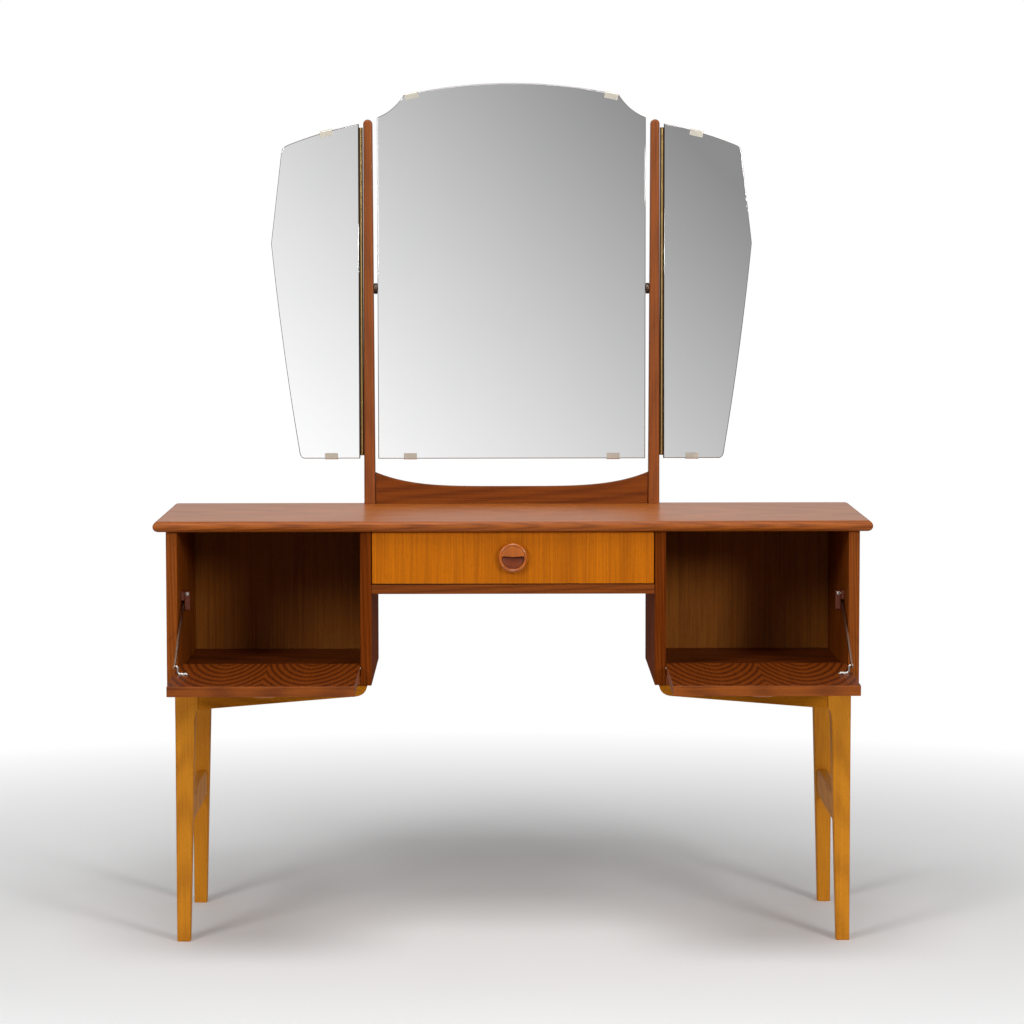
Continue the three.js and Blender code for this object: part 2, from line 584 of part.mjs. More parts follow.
// A turned disc between mirror and post, with a spigot into the backing board and a stud into the post.
function tiltPivot() {
  const face = postInner(TILT_Z) - 0.5;
  const near = MIRROR_HALF + 0.5;
  const stud = postInner(TILT_Z) + POST_HOLE - 2;
  const spigot = MIRROR_HALF - PIVOT_HOLE + 2;
  const profile = [
    [0, spigot],
    [PIVOT_SPIGOT, spigot],
    [PIVOT_SPIGOT, near],
    [PIVOT_DISC - 1, near],
    [PIVOT_DISC, near + 1],
    [PIVOT_DISC, face - 1],
    [PIVOT_DISC - 1, face],
    [PIVOT_STUD, face],
    [PIVOT_STUD, stud],
    [0, stud],
  ].map(([r, h]) => new THREE.Vector2(r, h));
  return new THREE.LatheGeometry(profile, 24);
}

for (const [hand, s] of Object.entries(SIDES)) {
  const pivot = tiltPivot().rotateZ(-s * (Math.PI / 2));
  add(`${hand}_tilt_pivot`, pivot.translate(0, TILT_Y, TILT_Z), darkMetal);
  const turn = Math.asin(CENTRE_CLIP_X.top / ARCH_R);
  const topZ = MIRROR_Z[1] - ARCH_R * (1 - Math.cos(turn));
  clip(`centre_clip_top_${hand}`, s * CENTRE_CLIP_X.top, topZ, -s * turn);
  clip(`centre_clip_bottom_${hand}`, s * CENTRE_CLIP_X.bottom, MIRROR_Z[0], Math.PI);
}

// ---- wing mirrors ----
function wingOutline(s, inset = 0) {
  const at = (x, z) => [s * (x - inset), z];
  const low = WING_Z + inset;
  const inner = s * (WING_X + inset);
  const [topIn, topOut] = WING_TOP.map((z) => z - inset);
  const shape = new THREE.Shape();
  shape.moveTo(inner, low);
  shape.lineTo(...at(WING_FOOT[0], low));
  shape.quadraticCurveTo(...at(WING_FOOT[1] - 1.3, low), ...at(WING_FOOT[1], low + 15));
  shape.quadraticCurveTo(...at(405, 985), ...at(...WING_WAIST));
  shape.lineTo(...at(...WING_CORNER));
  shape.quadraticCurveTo(...at(WING_CORNER[0] - 1.5, topOut), ...at(WING_CORNER[0] - 9, topOut + 3.4));
  shape.quadraticCurveTo(s * 336, 1366 - inset, inner, topIn);
  return shape;
}

// The leaf on the wing's inner edge and the barrel in front of it, joined by a narrow web.
function wingHinge(s) {
  const [pinX, pinY] = WING_PIN;
  const leafX = [WING_X - LEAF_GAP - LEAF_THICK, WING_X - LEAF_GAP];
  const barrelLong = HINGE_Z[1] - HINGE_Z[0];
  const barrel = new THREE.CylinderGeometry(BARREL_R, BARREL_R, barrelLong, 14).rotateX(Math.PI / 2);
  barrel.translate(s * pinX, pinY, (HINGE_Z[0] + HINGE_Z[1]) / 2);
  const web = box([s * pinX, s * leafX[1]], [pinY - 0.5, pinY - 0.5 + LEAF_THICK], HINGE_Z);
  const leaf = box([s * leafX[0], s * leafX[1]], [pinY - 0.5, BACKING[1] - 1], HINGE_Z);
  return join(barrel, web, leaf);
}

for (const [hand, s] of Object.entries(SIDES)) {
  add(`${hand}_wing_glass`, alongY(wingOutline(s), ...GLASS, 10), mirrorGlass);
  add(`${hand}_wing_backboard`, alongY(wingOutline(s, EDGE_IN), ...BACKING, 10), backingPly);
  add(`${hand}_wing_hinge`, wingHinge(s), brass);
  clip(`${hand}_wing_clip_top`, s * WING_CLIP_TOP[0], WING_CLIP_TOP[1], -s * WING_CLIP_TURN);
  clip(`${hand}_wing_clip_bottom`, s * WING_CLIP_BOTTOM_X, WING_Z, Math.PI);
}

export default part;
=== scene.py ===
# A teak dressing table with a three-leaf mirror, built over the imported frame.  Blender units are metres;
# sizes below are millimetres, with Y counted back from the tabletop's front edge.
import math
import bpy
import numpy as np
from mathutils import Matrix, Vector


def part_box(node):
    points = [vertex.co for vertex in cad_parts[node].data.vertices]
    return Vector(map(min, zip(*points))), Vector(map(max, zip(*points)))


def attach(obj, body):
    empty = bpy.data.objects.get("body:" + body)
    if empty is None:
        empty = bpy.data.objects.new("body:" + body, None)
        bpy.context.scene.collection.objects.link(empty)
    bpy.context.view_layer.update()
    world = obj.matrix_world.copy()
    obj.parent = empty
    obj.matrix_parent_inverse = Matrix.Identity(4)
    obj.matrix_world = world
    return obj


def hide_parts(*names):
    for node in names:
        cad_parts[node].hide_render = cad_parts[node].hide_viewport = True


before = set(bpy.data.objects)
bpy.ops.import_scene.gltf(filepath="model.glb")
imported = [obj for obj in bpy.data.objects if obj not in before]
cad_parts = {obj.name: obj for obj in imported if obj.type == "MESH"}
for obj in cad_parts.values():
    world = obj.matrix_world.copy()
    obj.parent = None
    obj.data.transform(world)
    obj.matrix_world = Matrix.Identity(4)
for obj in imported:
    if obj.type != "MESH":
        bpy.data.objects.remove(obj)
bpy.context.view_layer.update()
FRONT_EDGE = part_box("tabletop")[0].y * 1000
SIDES = {"left": -1, "right": 1}
GAP = 0.3  # between pieces that touch
HOLD = 0.35  # flats keep a line of points this close to each rounding, so that they shade flat


# ---------- shapes ----------
def inset(outline, by):
    """Each point moves inwards along the mitre of its two edges, `by` measured square to them.  With an array
    of distances it gives one ring for each."""
    edge = np.roll(outline, -1, 0) - outline
    edge = edge / np.linalg.norm(edge, axis=1)[:, None]
    normal = np.stack([-edge[:, 1], edge[:, 0]], 1)
    before = np.roll(normal, 1, 0)
    by = np.asarray(by, float)[..., None, None]
    return outline + by * (normal + before) / (1 + (normal * before).sum(1))[:, None]


def turned_right(outline):
    """The outline, or a stack of like outlines, with its points running counter-clockwise, by the sign of its
    area."""
    x, y = outline[..., 0], outline[..., 1]
    area = (x * np.roll(y, -1, -1) - y * np.roll(x, -1, -1)).sum()
    return outline if area > 0 else outline[..., ::-1, :]


def rounded(corners, radii, steps=4):
    """A polygon whose corners are circle arcs; each arc has its own line of points just outside its ends.
    An arc of radius r at a corner of half angle h starts r / tan(h) along both edges.  A stack of polygons
    gives a stack of outlines."""
    corners = turned_right(np.asarray(corners, float))
    radii = np.broadcast_to(np.asarray(radii, float), corners.shape[:-1])
    to_last = np.roll(corners, 1, -2) - corners
    to_next = np.roll(corners, -1, -2) - corners
    a = to_last / np.linalg.norm(to_last, axis=-1)[..., None]
    b = to_next / np.linalg.norm(to_next, axis=-1)[..., None]
    half = np.arccos(np.clip((a * b).sum(-1), -1, 1)) / 2
    reach = radii / np.tan(half)
    middle = (a + b) / np.linalg.norm(a + b, axis=-1)[..., None]
    centre = corners + middle * (radii / np.sin(half))[..., None]
    start = corners + a * reach[..., None] - centre
    sweep = np.pi - 2 * half
    turn = -np.sign(a[..., 0] * b[..., 1] - a[..., 1] * b[..., 0])
    angle = np.linspace(0, 1, steps + 1) * (sweep * turn)[..., None]
    c, s = np.cos(angle), np.sin(angle)
    x, y = start[..., :1], start[..., 1:]
    arc = np.stack([c * x - s * y, s * x + c * y], -1) + centre[..., None, :]
    first = corners + a * (reach + HOLD)[..., None]
    last = corners + b * (reach + HOLD)[..., None]
    whole = np.concatenate([first[..., None, :], arc, last[..., None, :]], -2)
    return whole.reshape(*corners.shape[:-2], -1, 2)


def skin(rings, looped=False):
    """Quads between equal rings of points; the end rings are closed by flat caps, or by each other if looped.
    The whole shell is turned outwards by the sign of its volume.  The faces are the quads, then the caps."""
    rings = np.asarray(rings, float)
    count, size = rings.shape[:2]
    i, j = np.meshgrid(np.arange(count if looped else count - 1), np.arange(size), indexing="ij")
    after = (i + 1) % count
    beside = (j + 1) % size
    quads = np.stack([i * size + j, i * size + beside, after * size + beside, after * size + j], -1)
    quads = quads.reshape(-1, 4)
    ends = 0 if looped else 2
    caps = np.stack([np.arange(size)[::-1], np.arange(size) + (count - 1) * size])[:ends]
    points = rings.reshape(-1, 3)
    corner = points[quads] - points.mean(0)
    volume = (corner[:, 0] * np.cross(corner[:, 1], corner[:, 2])).sum()
    volume += (corner[:, 0] * np.cross(corner[:, 2], corner[:, 3])).sum()
    flat = points[caps] - points.mean(0)
    volume += (flat[:, :1] * np.cross(flat[:, 1:-1], flat[:, 2:])).sum()
    return points, (quads, caps) if volume > 0 else (quads[:, ::-1], caps[:, ::-1])


def face_count(shell):
    quads, caps = shell[1]
    return len(quads) + len(caps)


def stack(outline, levels, insets, axis):
    """An outline drawn in by `insets` at each of `levels` along an axis; its plane is the other two axes, in
    order."""
    rings = np.zeros((len(levels), len(outline), 3))
    plane = [k for k in range(3) if k != axis]
    rings[..., plane] = inset(outline, insets)
    rings[..., axis] = np.asarray(levels)[:, None]
    return rings


def rounding(low, high, edge, steps=3):
    """Levels and insets of a quarter circle at both ends of a run: at angle t the level is edge (1 - cos t)
    inside the end and the inset is edge (1 - sin t)."""
    t = np.linspace(0, np.pi / 2, steps + 1)
    rise = np.concatenate([[0], edge * (1 - np.cos(t)), [edge + HOLD]])
    draw = np.concatenate([[edge + HOLD], edge * (1 - np.sin(t)), [0]])
    return np.concatenate([low + rise, high - rise[::-1]]), np.concatenate([draw, draw[::-1]])


def prism(outline, low, high, axis, edge=0.8):
    """A closed outline carried along an axis from low to high, both ends rounded by `edge`."""
    low, high = min(low, high), max(low, high)
    return stack(turned_right(np.asarray(outline, float)), *rounding(low, high, edge), axis)


def board(x, y, z, thin, edge=0.8):
    """A board between limits on each axis with every edge rounded; `thin` is its thickness axis."""
    limits = [sorted(v) for k, v in enumerate((x, y, z)) if k != thin]
    (a, b), (c, d) = limits
    outline = rounded([(a, c), (b, c), (b, d), (a, d)], edge + HOLD + 0.1)
    return prism(outline, *(x, y, z)[thin], thin, edge)


def quad_curve(a, pull, b, steps=10):
    """Points of the parabola from a to b that leaves both towards `pull`."""
    t = np.linspace(0, 1, steps + 1)[:, None]
    a, pull, b = (np.asarray(p, float) for p in (a, pull, b))
    return (1 - t) ** 2 * a + 2 * t * (1 - t) * pull + t**2 * b


def lathe(profile, steps=32):
    """A profile of (radius, height) turned round Z; both ends stop a hair off the axis and are capped."""
    profile = np.asarray(profile, float)
    angle = np.linspace(0, 2 * np.pi, steps, endpoint=False)
    radius = np.maximum(profile[:, 0], 0.02)[:, None]
    height = np.broadcast_to(profile[:, 1:], (len(profile), steps))
    return np.stack([radius * np.cos(angle), radius * np.sin(angle), height], -1)


def tube(path, radius, steps=14, looped=False):
    """A circle carried square to a path whose points lie in one plane of constant normal."""
    path = np.asarray(path, float)
    along = np.gradient(path, axis=0)
    if looped:
        along = np.roll(path, -1, 0) - np.roll(path, 1, 0)
    along /= np.linalg.norm(along, axis=1)[:, None]
    flat = np.linalg.svd(path - path.mean(0))[2][-1]
    side = np.cross(along, flat)
    angle = np.linspace(0, 2 * np.pi, steps, endpoint=False)
    circle = np.cos(angle)[None, :, None] * side[:, None] + np.sin(angle)[None, :, None] * flat
    return path[:, None] + np.asarray(radius, float).reshape(-1, 1, 1) * circle


def spun(points, axis, angle, about=(0, 0, 0)):
    """Points turned by an angle about an axis through a place."""
    turn = np.array(Matrix.Rotation(angle, 3, axis))
    return (np.asarray(points) - about) @ turn.T + about


def screw(size=3.2, tall=1.0):
    """A slotted countersunk head facing +Z: over a polar grid the height is a shallow dome less a straight
    slot."""
    radius = np.concatenate([np.linspace(0.01, size, 16), [size, size * 0.7]])
    angle = np.linspace(0, 2 * np.pi, 40, endpoint=False)
    r, a = np.meshgrid(radius, angle, indexing="ij")
    dome = tall * (1 - 0.55 * (r / size) ** 2)
    slot = np.clip((size * 0.16 - np.abs(r * np.sin(a))) / (size * 0.06) + 0.5, 0, 1)
    height = dome - slot * tall * 0.5 * (r < size * 0.98)
    height[-2:] = [[0.1 * tall], [-0.3 * tall]]
    return np.stack([r * np.cos(a), r * np.sin(a), height], -1)


# ---------- pieces ----------
def piece(name, shells, finishes, body, stands_for=None, fibres=None, grain=None, lipping=None,
          pick=None, flags=None):
    """Joins closed shells into one mesh in metres.  `fibres` names the axes along, across and through the
    grain; `grain` and `lipping` may give those places point by point; `pick` chooses a finish for each
    face by its normal and middle, and `flags` names it outright."""
    shells = [skin(shell) if isinstance(shell, np.ndarray) else shell for shell in shells]
    points = np.concatenate([places for places, _ in shells])
    faces = []
    start = 0
    for places, groups in shells:
        for group in groups:
            faces += (group + start).tolist()
        start += len(places)
    placed = (points + [0, FRONT_EDGE, 0]) / 1000
    mesh = bpy.data.meshes.new(name)
    mesh.from_pydata(placed.tolist(), [], faces)
    mesh.polygons.foreach_set("use_smooth", np.ones(len(faces), bool))
    mesh.set_sharp_from_angle(angle=math.radians(38))
    finishes = finishes if isinstance(finishes, (list, tuple)) else [finishes]
    for finish in finishes:
        mesh.materials.append(finish)
    if pick is not None:
        normals = np.zeros(len(faces) * 3)
        middles = np.zeros(len(faces) * 3)
        mesh.polygons.foreach_get("normal", normals)
        mesh.polygons.foreach_get("center", middles)
        middles = middles.reshape(-1, 3) * 1000 - [0, FRONT_EDGE, 0]
        mesh.polygons.foreach_set("material_index", pick(normals.reshape(-1, 3), middles).astype(np.int32))
    if flags is not None:
        mesh.polygons.foreach_set("material_index", np.asarray(flags, np.int32))
    seed = sum((k + 3) * ord(c) for k, c in enumerate(name))
    shift = np.array([seed * 0.137 % 3.1, seed * 0.071 % 0.4 - 0.2, seed * 0.053 % 0.05])
    if fibres is not None:
        axes = ["xyz".index(c) for c in fibres]
        grain = points[:, axes] / 1000 - [0, (points[:, axes[1]].mean()) / 1000, 0] + shift * [1, 0.35, 1]
    for label, values in (("grain", grain), ("lipping", lipping)):
        if values is not None:
            layer = mesh.attributes.new(label, "FLOAT_VECTOR", "POINT")
            layer.data.foreach_set("vector", np.asarray(values, np.float32).ravel())
    made = bpy.data.objects.new(name, mesh)
    bpy.context.collection.objects.link(made)
    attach(made, body)
    if stands_for:
        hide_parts(stands_for)
    return made


def corners_of(cad_name):
    """The lowest and highest corner of a CAD node, in millimetres from the tabletop's front edge."""
    return [np.array(corner) * 1000 - [0, FRONT_EDGE, 0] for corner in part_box(cad_name)]


def cad_board(cad_name, body, finish, thin, fibres, edge=0.8, wider=0.0):
    """The board of a CAD node, on the node's own corners, with eased edges; `wider` closes its end gaps."""
    low, high = corners_of(cad_name)
    low, high = low - [wider, 0, 0], high + [wider, 0, 0]
    shell = board(*zip(low, high), thin, edge)
    return piece(f"{cad_name}_board", [shell], finish, body, cad_name, fibres)


# ---------- finishes ----------
def tone(red, green, blue):
    """A screen colour, 0 to 255, as linear light."""
    screen = (v / 255 for v in (red, green, blue))
    return tuple(((v + 0.055) / 1.055) ** 2.4 if v > 0.04045 else v / 12.92 for v in screen) + (1,)


def node(tree, kind, inputs=(), **settings):
    """A shader node; an input is either another node's socket, which is linked, or a value."""
    made = tree.nodes.new(kind)
    for key, value in settings.items():
        setattr(made, key, value)
    for key, value in dict(inputs).items():
        if isinstance(value, bpy.types.NodeSocket):
            tree.links.new(value, made.inputs[key])
        else:
            made.inputs[key].default_value = value
    return made


def sums(tree, operation, *values):
    return node(tree, "ShaderNodeMath", dict(enumerate(values)), operation=operation).outputs[0]


def noise(tree, where, scale, detail=3.0, rough=0.5):
    """Noise stretched by a scale for each axis."""
    stretched = node(tree, "ShaderNodeVectorMath", {0: where, 1: scale}, operation="MULTIPLY").outputs[0]
    inputs = {"Vector": stretched, "Scale": 1.0, "Detail": detail, "Roughness": rough}
    return node(tree, "ShaderNodeTexNoise", inputs).outputs[0]


def spread(tree, value, low, high, to_low, to_high):
    """The run from low to high moved to the run from to_low to to_high, and held at its ends."""
    inputs = {0: value, 1: low, 2: high, 3: to_low, 4: to_high}
    return node(tree, "ShaderNodeMapRange", inputs).outputs[0]


def ramp(tree, value, stops):
    """Colours at places from 0 to 1."""
    made = node(tree, "ShaderNodeValToRGB", {0: value})
    elements = made.color_ramp.elements
    while len(elements) < len(stops):
        elements.new(0.5)
    for element, (place, colour) in zip(elements, stops):
        element.position = place
        element.color = colour
    return made.outputs[0]


def blended(tree, factor, a, b, mode="MIX"):
    made = node(tree, "ShaderNodeMix", {0: factor, 6: a, 7: b}, data_type="RGBA", blend_type=mode)
    return made.outputs[2]


def started(name, **sockets):
    """A new material with even values on its shader's sockets."""
    material = bpy.data.materials.new(name)
    material.use_nodes = True
    tree = material.node_tree
    shader = tree.nodes["Principled BSDF"]
    for label, value in sockets.items():
        shader.inputs[label.replace("_", " ")].default_value = value
    return material, tree, shader


def bump(tree, shader, height, strength, distance=0.0004):
    made = node(tree, "ShaderNodeBump", {"Height": height, "Strength": strength, "Distance": distance})
    tree.links.new(made.outputs[0], shader.inputs["Normal"])


def shades(colour, spread_of=0.5):
    """Four shades of a wood round its middle colour; the dark ones lean to red."""
    dark, low, high = 1 - spread_of, 1 - spread_of * 0.45, 1 + spread_of * 0.5
    r, g, b, _ = colour
    return [
        (0.0, (r * dark, g * dark**1.25, b * dark**1.3, 1)),
        (0.38, (r * low, g * low**1.1, b * low**1.1, 1)),
        (0.62, (r, g, b, 1)),
        (1.0, (r * high, g * high * 1.03, b * high * 1.05, 1)),
    ]


def wood(name, colour, contrast=0.5, spacing=0.006, lean=0.04, pith=0.06, warp=1.2, weights=(0.45, 0.4, 0.25),
         pores=0.5, rough=(0.36, 0.5), relief=0.25, places="grain", fleck=0.0, **sockets):
    """Wood cut from a log: the growth ring at a point is its distance from the pith, which leans away along
    the fibres, over the ring spacing, with a slow wander.  Rings, fine streaks and broad bands are weighed
    together for the colour; pores are short dark dashes; roughness and relief follow the streaks."""
    material, tree, shader = started(name, **sockets)
    where = node(tree, "ShaderNodeAttribute", attribute_name=places).outputs["Vector"]
    split = node(tree, "ShaderNodeSeparateXYZ", {0: where})
    x, y, z = split.outputs
    wander = noise(tree, where, (1.6, 9, 9), 3)
    depth = sums(tree, "ADD", sums(tree, "MULTIPLY_ADD", x, lean, pith), z)
    square = sums(tree, "MULTIPLY_ADD", y, y, sums(tree, "MULTIPLY", depth, depth))
    distance = sums(tree, "SQRT", square)
    ring = sums(tree, "MULTIPLY_ADD", wander, warp * 3, sums(tree, "DIVIDE", distance, spacing))
    wave = sums(tree, "MULTIPLY_ADD", sums(tree, "SINE", sums(tree, "MULTIPLY", ring, 2 * math.pi)), 0.5, 0.5)
    late = sums(tree, "POWER", wave, 1.7)
    streaks = spread(tree, noise(tree, where, (5, 420, 420), 5, 0.6), 0.3, 0.7, 0, 1)
    bands = spread(tree, noise(tree, where, (0.9, 26, 26), 2), 0.3, 0.7, 0, 1)
    total = sums(tree, "MULTIPLY", late, weights[0])
    total = sums(tree, "MULTIPLY_ADD", streaks, weights[1], total)
    total = sums(tree, "MULTIPLY_ADD", bands, weights[2], total)
    shade = spread(tree, total, 0.12 * sum(weights), 0.88 * sum(weights), 1, 0)
    colours = ramp(tree, shade, shades(colour, contrast))
    dashes = spread(tree, noise(tree, where, (85, 1700, 1700), 2, 0.6), 0.6, 0.7, 0, 1)
    dashes = sums(tree, "MULTIPLY", dashes, pores)
    colours = blended(tree, dashes, colours, (0.32, 0.22, 0.14, 1), "MULTIPLY")
    if fleck:
        specks = spread(tree, noise(tree, where, (240, 900, 900), 1), 0.62, 0.7, 0, fleck)
        colours = blended(tree, specks, colours, tuple(c * 0.5 for c in colour[:3]) + (1,))
    tree.links.new(colours, shader.inputs["Base Color"])
    tree.links.new(spread(tree, streaks, 0, 1, *rough), shader.inputs["Roughness"])
    relief_of = sums(tree, "MULTIPLY_ADD", dashes, -0.8, sums(tree, "MULTIPLY", streaks, -0.5))
    bump(tree, shader, relief_of, relief)
    return material


def metal(name, colour, rough, wear=0.35, along=(60, 60, 60), tarnish=0.75):
    """Polished metal with fine wear: in cloudy patches it is rougher and its colour duller."""
    material, tree, shader = started(name, Metallic=1.0)
    where = node(tree, "ShaderNodeTexCoord").outputs["Object"]
    cloud = spread(tree, noise(tree, where, along, 4, 0.6), 0.35, 0.75, 0, 1)
    fine = noise(tree, where, tuple(v * 22 for v in along), 3, 0.6)
    dull = tuple(c * tarnish for c in colour[:3]) + (1,)
    tree.links.new(blended(tree, cloud, colour, dull), shader.inputs["Base Color"])
    tree.links.new(spread(tree, cloud, 0, 1, rough, rough + wear * 0.5), shader.inputs["Roughness"])
    bump(tree, shader, fine, 0.06, 0.0002)
    return material


def mirror_face(name, clean=0.9):
    """Silvered glass: near-white metal with a trace of haze in slow patches."""
    material, tree, shader = started(name, Metallic=1.0)
    where = node(tree, "ShaderNodeTexCoord").outputs["Object"]
    haze = spread(tree, noise(tree, where, (7, 7, 7), 4, 0.6), 0.35, 0.75, 0, 1)
    low = (clean * 0.985, clean * 0.99, clean * 0.99, 1)
    tree.links.new(blended(tree, haze, (clean, clean, clean, 1), low), shader.inputs["Base Color"])
    tree.links.new(spread(tree, haze, 0, 1, 0.012, 0.04), shader.inputs["Roughness"])
    return material


def moulded(name, colour, rough=0.38):
    """Moulded plastic: a fine pebbled skin with slightly cloudy colour."""
    material, tree, shader = started(name, Coat_Weight=0.15)
    where = node(tree, "ShaderNodeTexCoord").outputs["Object"]
    cloud = noise(tree, where, (90, 90, 90), 3)
    pebble = noise(tree, where, (1600, 1600, 1600), 2)
    dark = tuple(c * 0.7 for c in colour[:3]) + (1,)
    tree.links.new(blended(tree, cloud, dark, colour), shader.inputs["Base Color"])
    tree.links.new(spread(tree, cloud, 0.3, 0.7, rough, rough + 0.12), shader.inputs["Roughness"])
    bump(tree, shader, pebble, 0.12, 0.0002)
    return material


SIDE_GRAIN = dict(spacing=0.0045, lean=0.03, weights=(0.28, 0.55, 0.22))
EDGE_GRAIN = dict(spacing=0.004, places="lipping", weights=(0.3, 0.55, 0.25))
BEECH_GRAIN = dict(spacing=0.005, weights=(0.35, 0.45, 0.2), pores=0.25, relief=0.12, fleck=0.45)
KNOB_GRAIN = dict(spacing=0.005, pores=0.35, relief=0.12)

teak = wood("teak_finish", tone(137, 68, 11), 0.48, rough=(0.48, 0.62), Specular_IOR_Level=0.1, **SIDE_GRAIN)
# Painted shade: the inner sides get a darker copy of the teak, with almost no specular, standing for the
# shade that falls in the kneehole under the tabletop.
teak_inner_side_painted_shade = wood("teak_inner_side_finish", tone(112, 50, 8), 0.48, rough=(0.55, 0.7),
                       Specular_IOR_Level=0.02, **SIDE_GRAIN)
teak_rail = wood("teak_rail_finish", tone(122, 58, 6), 0.5, spacing=0.003, lean=0.02, warp=0.7,
                 weights=(0.25, 0.6, 0.2), rough=(0.42, 0.55), Specular_IOR_Level=0.12)
teak_post = wood("teak_post_finish", tone(137, 70, 18), 0.34, spacing=0.003, lean=0.02, warp=0.6,
                 weights=(0.2, 0.65, 0.12), rough=(0.34, 0.46), Specular_IOR_Level=0.25, Coat_Weight=0.05)
teak_top = wood("teak_top_finish", tone(176, 98, 32), 0.3, spacing=0.007, rough=(0.26, 0.36), relief=0.12,
                weights=(0.3, 0.5, 0.2), pores=0.35, Coat_Weight=0.07)
teak_nosing = wood("teak_nosing_finish", tone(156, 80, 17), 0.55, Specular_IOR_Level=0.25, **EDGE_GRAIN)
teak_lipping = wood("teak_lipping_finish", tone(136, 67, 10), 0.5, Specular_IOR_Level=0.2, **EDGE_GRAIN)
teak_figured = wood("teak_figured_finish", tone(110, 49, 8), 0.62, spacing=0.0105, lean=0.27, pith=0.022,
                    warp=0.7, weights=(0.75, 0.4, 0.15), Specular_IOR_Level=0.12)
knob_teak = wood("teak_knob_finish", tone(172, 88, 14), 0.4, rough=(0.26, 0.36), Coat_Weight=0.2,
                 **KNOB_GRAIN)
# Painted shade: a darker copy of the knob's teak for the faces inside the hollow, standing for the shade
# under the lip.
hollow_teak_painted_shade = wood("teak_hollow_painted_shade_finish", tone(120, 50, 14), 0.4, Specular_IOR_Level=0.2, **KNOB_GRAIN)
honey_teak = wood("honey_teak_finish", tone(188, 102, 3), 0.3, spacing=0.0035, lean=0.012, pith=0.12,
                  warp=1.6, weights=(0.12, 0.6, 0.3), rough=(0.36, 0.48), relief=0.15, fleck=0.3,
                  Specular_IOR_Level=0.08)
inner_teak = wood("inner_teak_finish", tone(128, 58, 12), rough=(0.45, 0.6), Specular_IOR_Level=0.2)
beech_wood = wood("beech_finish", tone(197, 125, 24), 0.24, rough=(0.45, 0.58), Specular_IOR_Level=0.12,
                  **BEECH_GRAIN)
# Painted shade: the rails get a darker, less glossy copy of the beech, standing for the shadow that the flaps
# cast on them.
beech_rail_painted_shade = wood("beech_rail_finish", tone(176, 106, 16), 0.24, rough=(0.5, 0.62), Specular_IOR_Level=0.05,
                  **BEECH_GRAIN)
hardboard = wood("hardboard_finish", tone(156, 90, 24), 0.3, weights=(0.03, 0.3, 0.12), rough=(0.55, 0.75),
                 fleck=0.4, pores=0.6, Specular_IOR_Level=0.12)
pale_wood = wood("drawer_wood_finish", tone(206, 168, 112), 0.25, rough=(0.5, 0.65), pores=0.3)
ply_back = wood("backing_finish", tone(78, 46, 26), 0.35, rough=(0.6, 0.8))
mirror_glass = mirror_face("mirror_silver")
glass_edge = moulded("glass_edge_line", tone(104, 78, 56), 0.3)
clip_metal = metal("clip_champagne", tone(226, 219, 204), 0.3, along=(40, 40, 40))
bright_metal = metal("stay_nickel", tone(214, 211, 204), 0.2)
brass = metal("hinge_brass", tone(176, 146, 92), 0.32, along=(50, 50, 50))
# Painted shade: a dark copy of the brass on the hinges' webs and leaves stands for the shade in the narrow
# gap between post and wing.
brass_shaded_copy = metal("hinge_brass_painted_shade", tone(96, 72, 50), 0.42, along=(50, 50, 50))
rod_metal = metal("rod_bronze", tone(150, 122, 104), 0.28)
dark_metal = metal("pivot_bronze", tone(92, 78, 68), 0.3)
brown_plastic = moulded("guide_brown", tone(126, 58, 30))


# ---------- tabletop ----------
TOP_Z = 711.0
TOP_THICK = 18.0
TOP_HALF = 600.0  # half of its width
TOP_DEEP = 396.0
NOSING_STEPS = 19


def tabletop():
    """The plan outline drawn in round a half circle: at angle a the height is r sin a above the middle, and
    the front and ends stand r (1 - cos a) inside their furthest line; the back stays straight."""
    r = TOP_THICK / 2
    corners = [(-TOP_HALF, 0), (TOP_HALF, 0), (TOP_HALF, TOP_DEEP), (-TOP_HALF, TOP_DEEP)]
    plan = rounded(corners, [3, 3, 0.6, 0.6], 5)
    angle = np.linspace(-np.pi / 2, np.pi / 2, NOSING_STEPS)
    height = np.concatenate([[-r], r * np.sin(angle), [r]]) + TOP_Z - r
    drawn = np.concatenate([[r + 0.5], r * (1 - np.cos(angle)), [r + 0.5]])[:, None]
    x = plan[None, :, 0] * (TOP_HALF - drawn) / TOP_HALF
    y = drawn + plan[None, :, 1] * (TOP_DEEP - drawn) / TOP_DEEP
    return np.stack([x, y, np.broadcast_to(height[:, None], x.shape)], -1)


def tabletop_board():
    """The face is veneer with its grain along X; the nosing's grain runs along the edge that it covers."""
    shell = skin(tabletop())
    spots = shell[0]
    along_front = spots[:, [0, 2, 1]] / 1000 + [0.4, -0.706, 0]
    along_end = spots[:, [1, 2, 0]] / 1000 + [1.9, -0.706, 0]
    on_end = (np.abs(spots[:, 0]) > TOP_HALF - 9.5) & (spots[:, 1] > 4)
    piece("tabletop_board", [shell], [teak_top, teak_nosing], "carcass", "tabletop",
          grain=spots / 1000 + [0.3, -0.2, 0.02],
          lipping=np.where(on_end[:, None], along_end, along_front),
          pick=lambda normal, middle: (np.abs(normal[:, 2]) < 0.995).astype(int))


tabletop_board()


# ---------- case and drawer ----------
CASE_FRONT = 15  # the cabinets stand this far behind the tabletop's edge
FLOOR_STEP = CASE_FRONT + 23.8  # end of the lower part that the closed flap stands in
FLOOR_DROP = 4.0


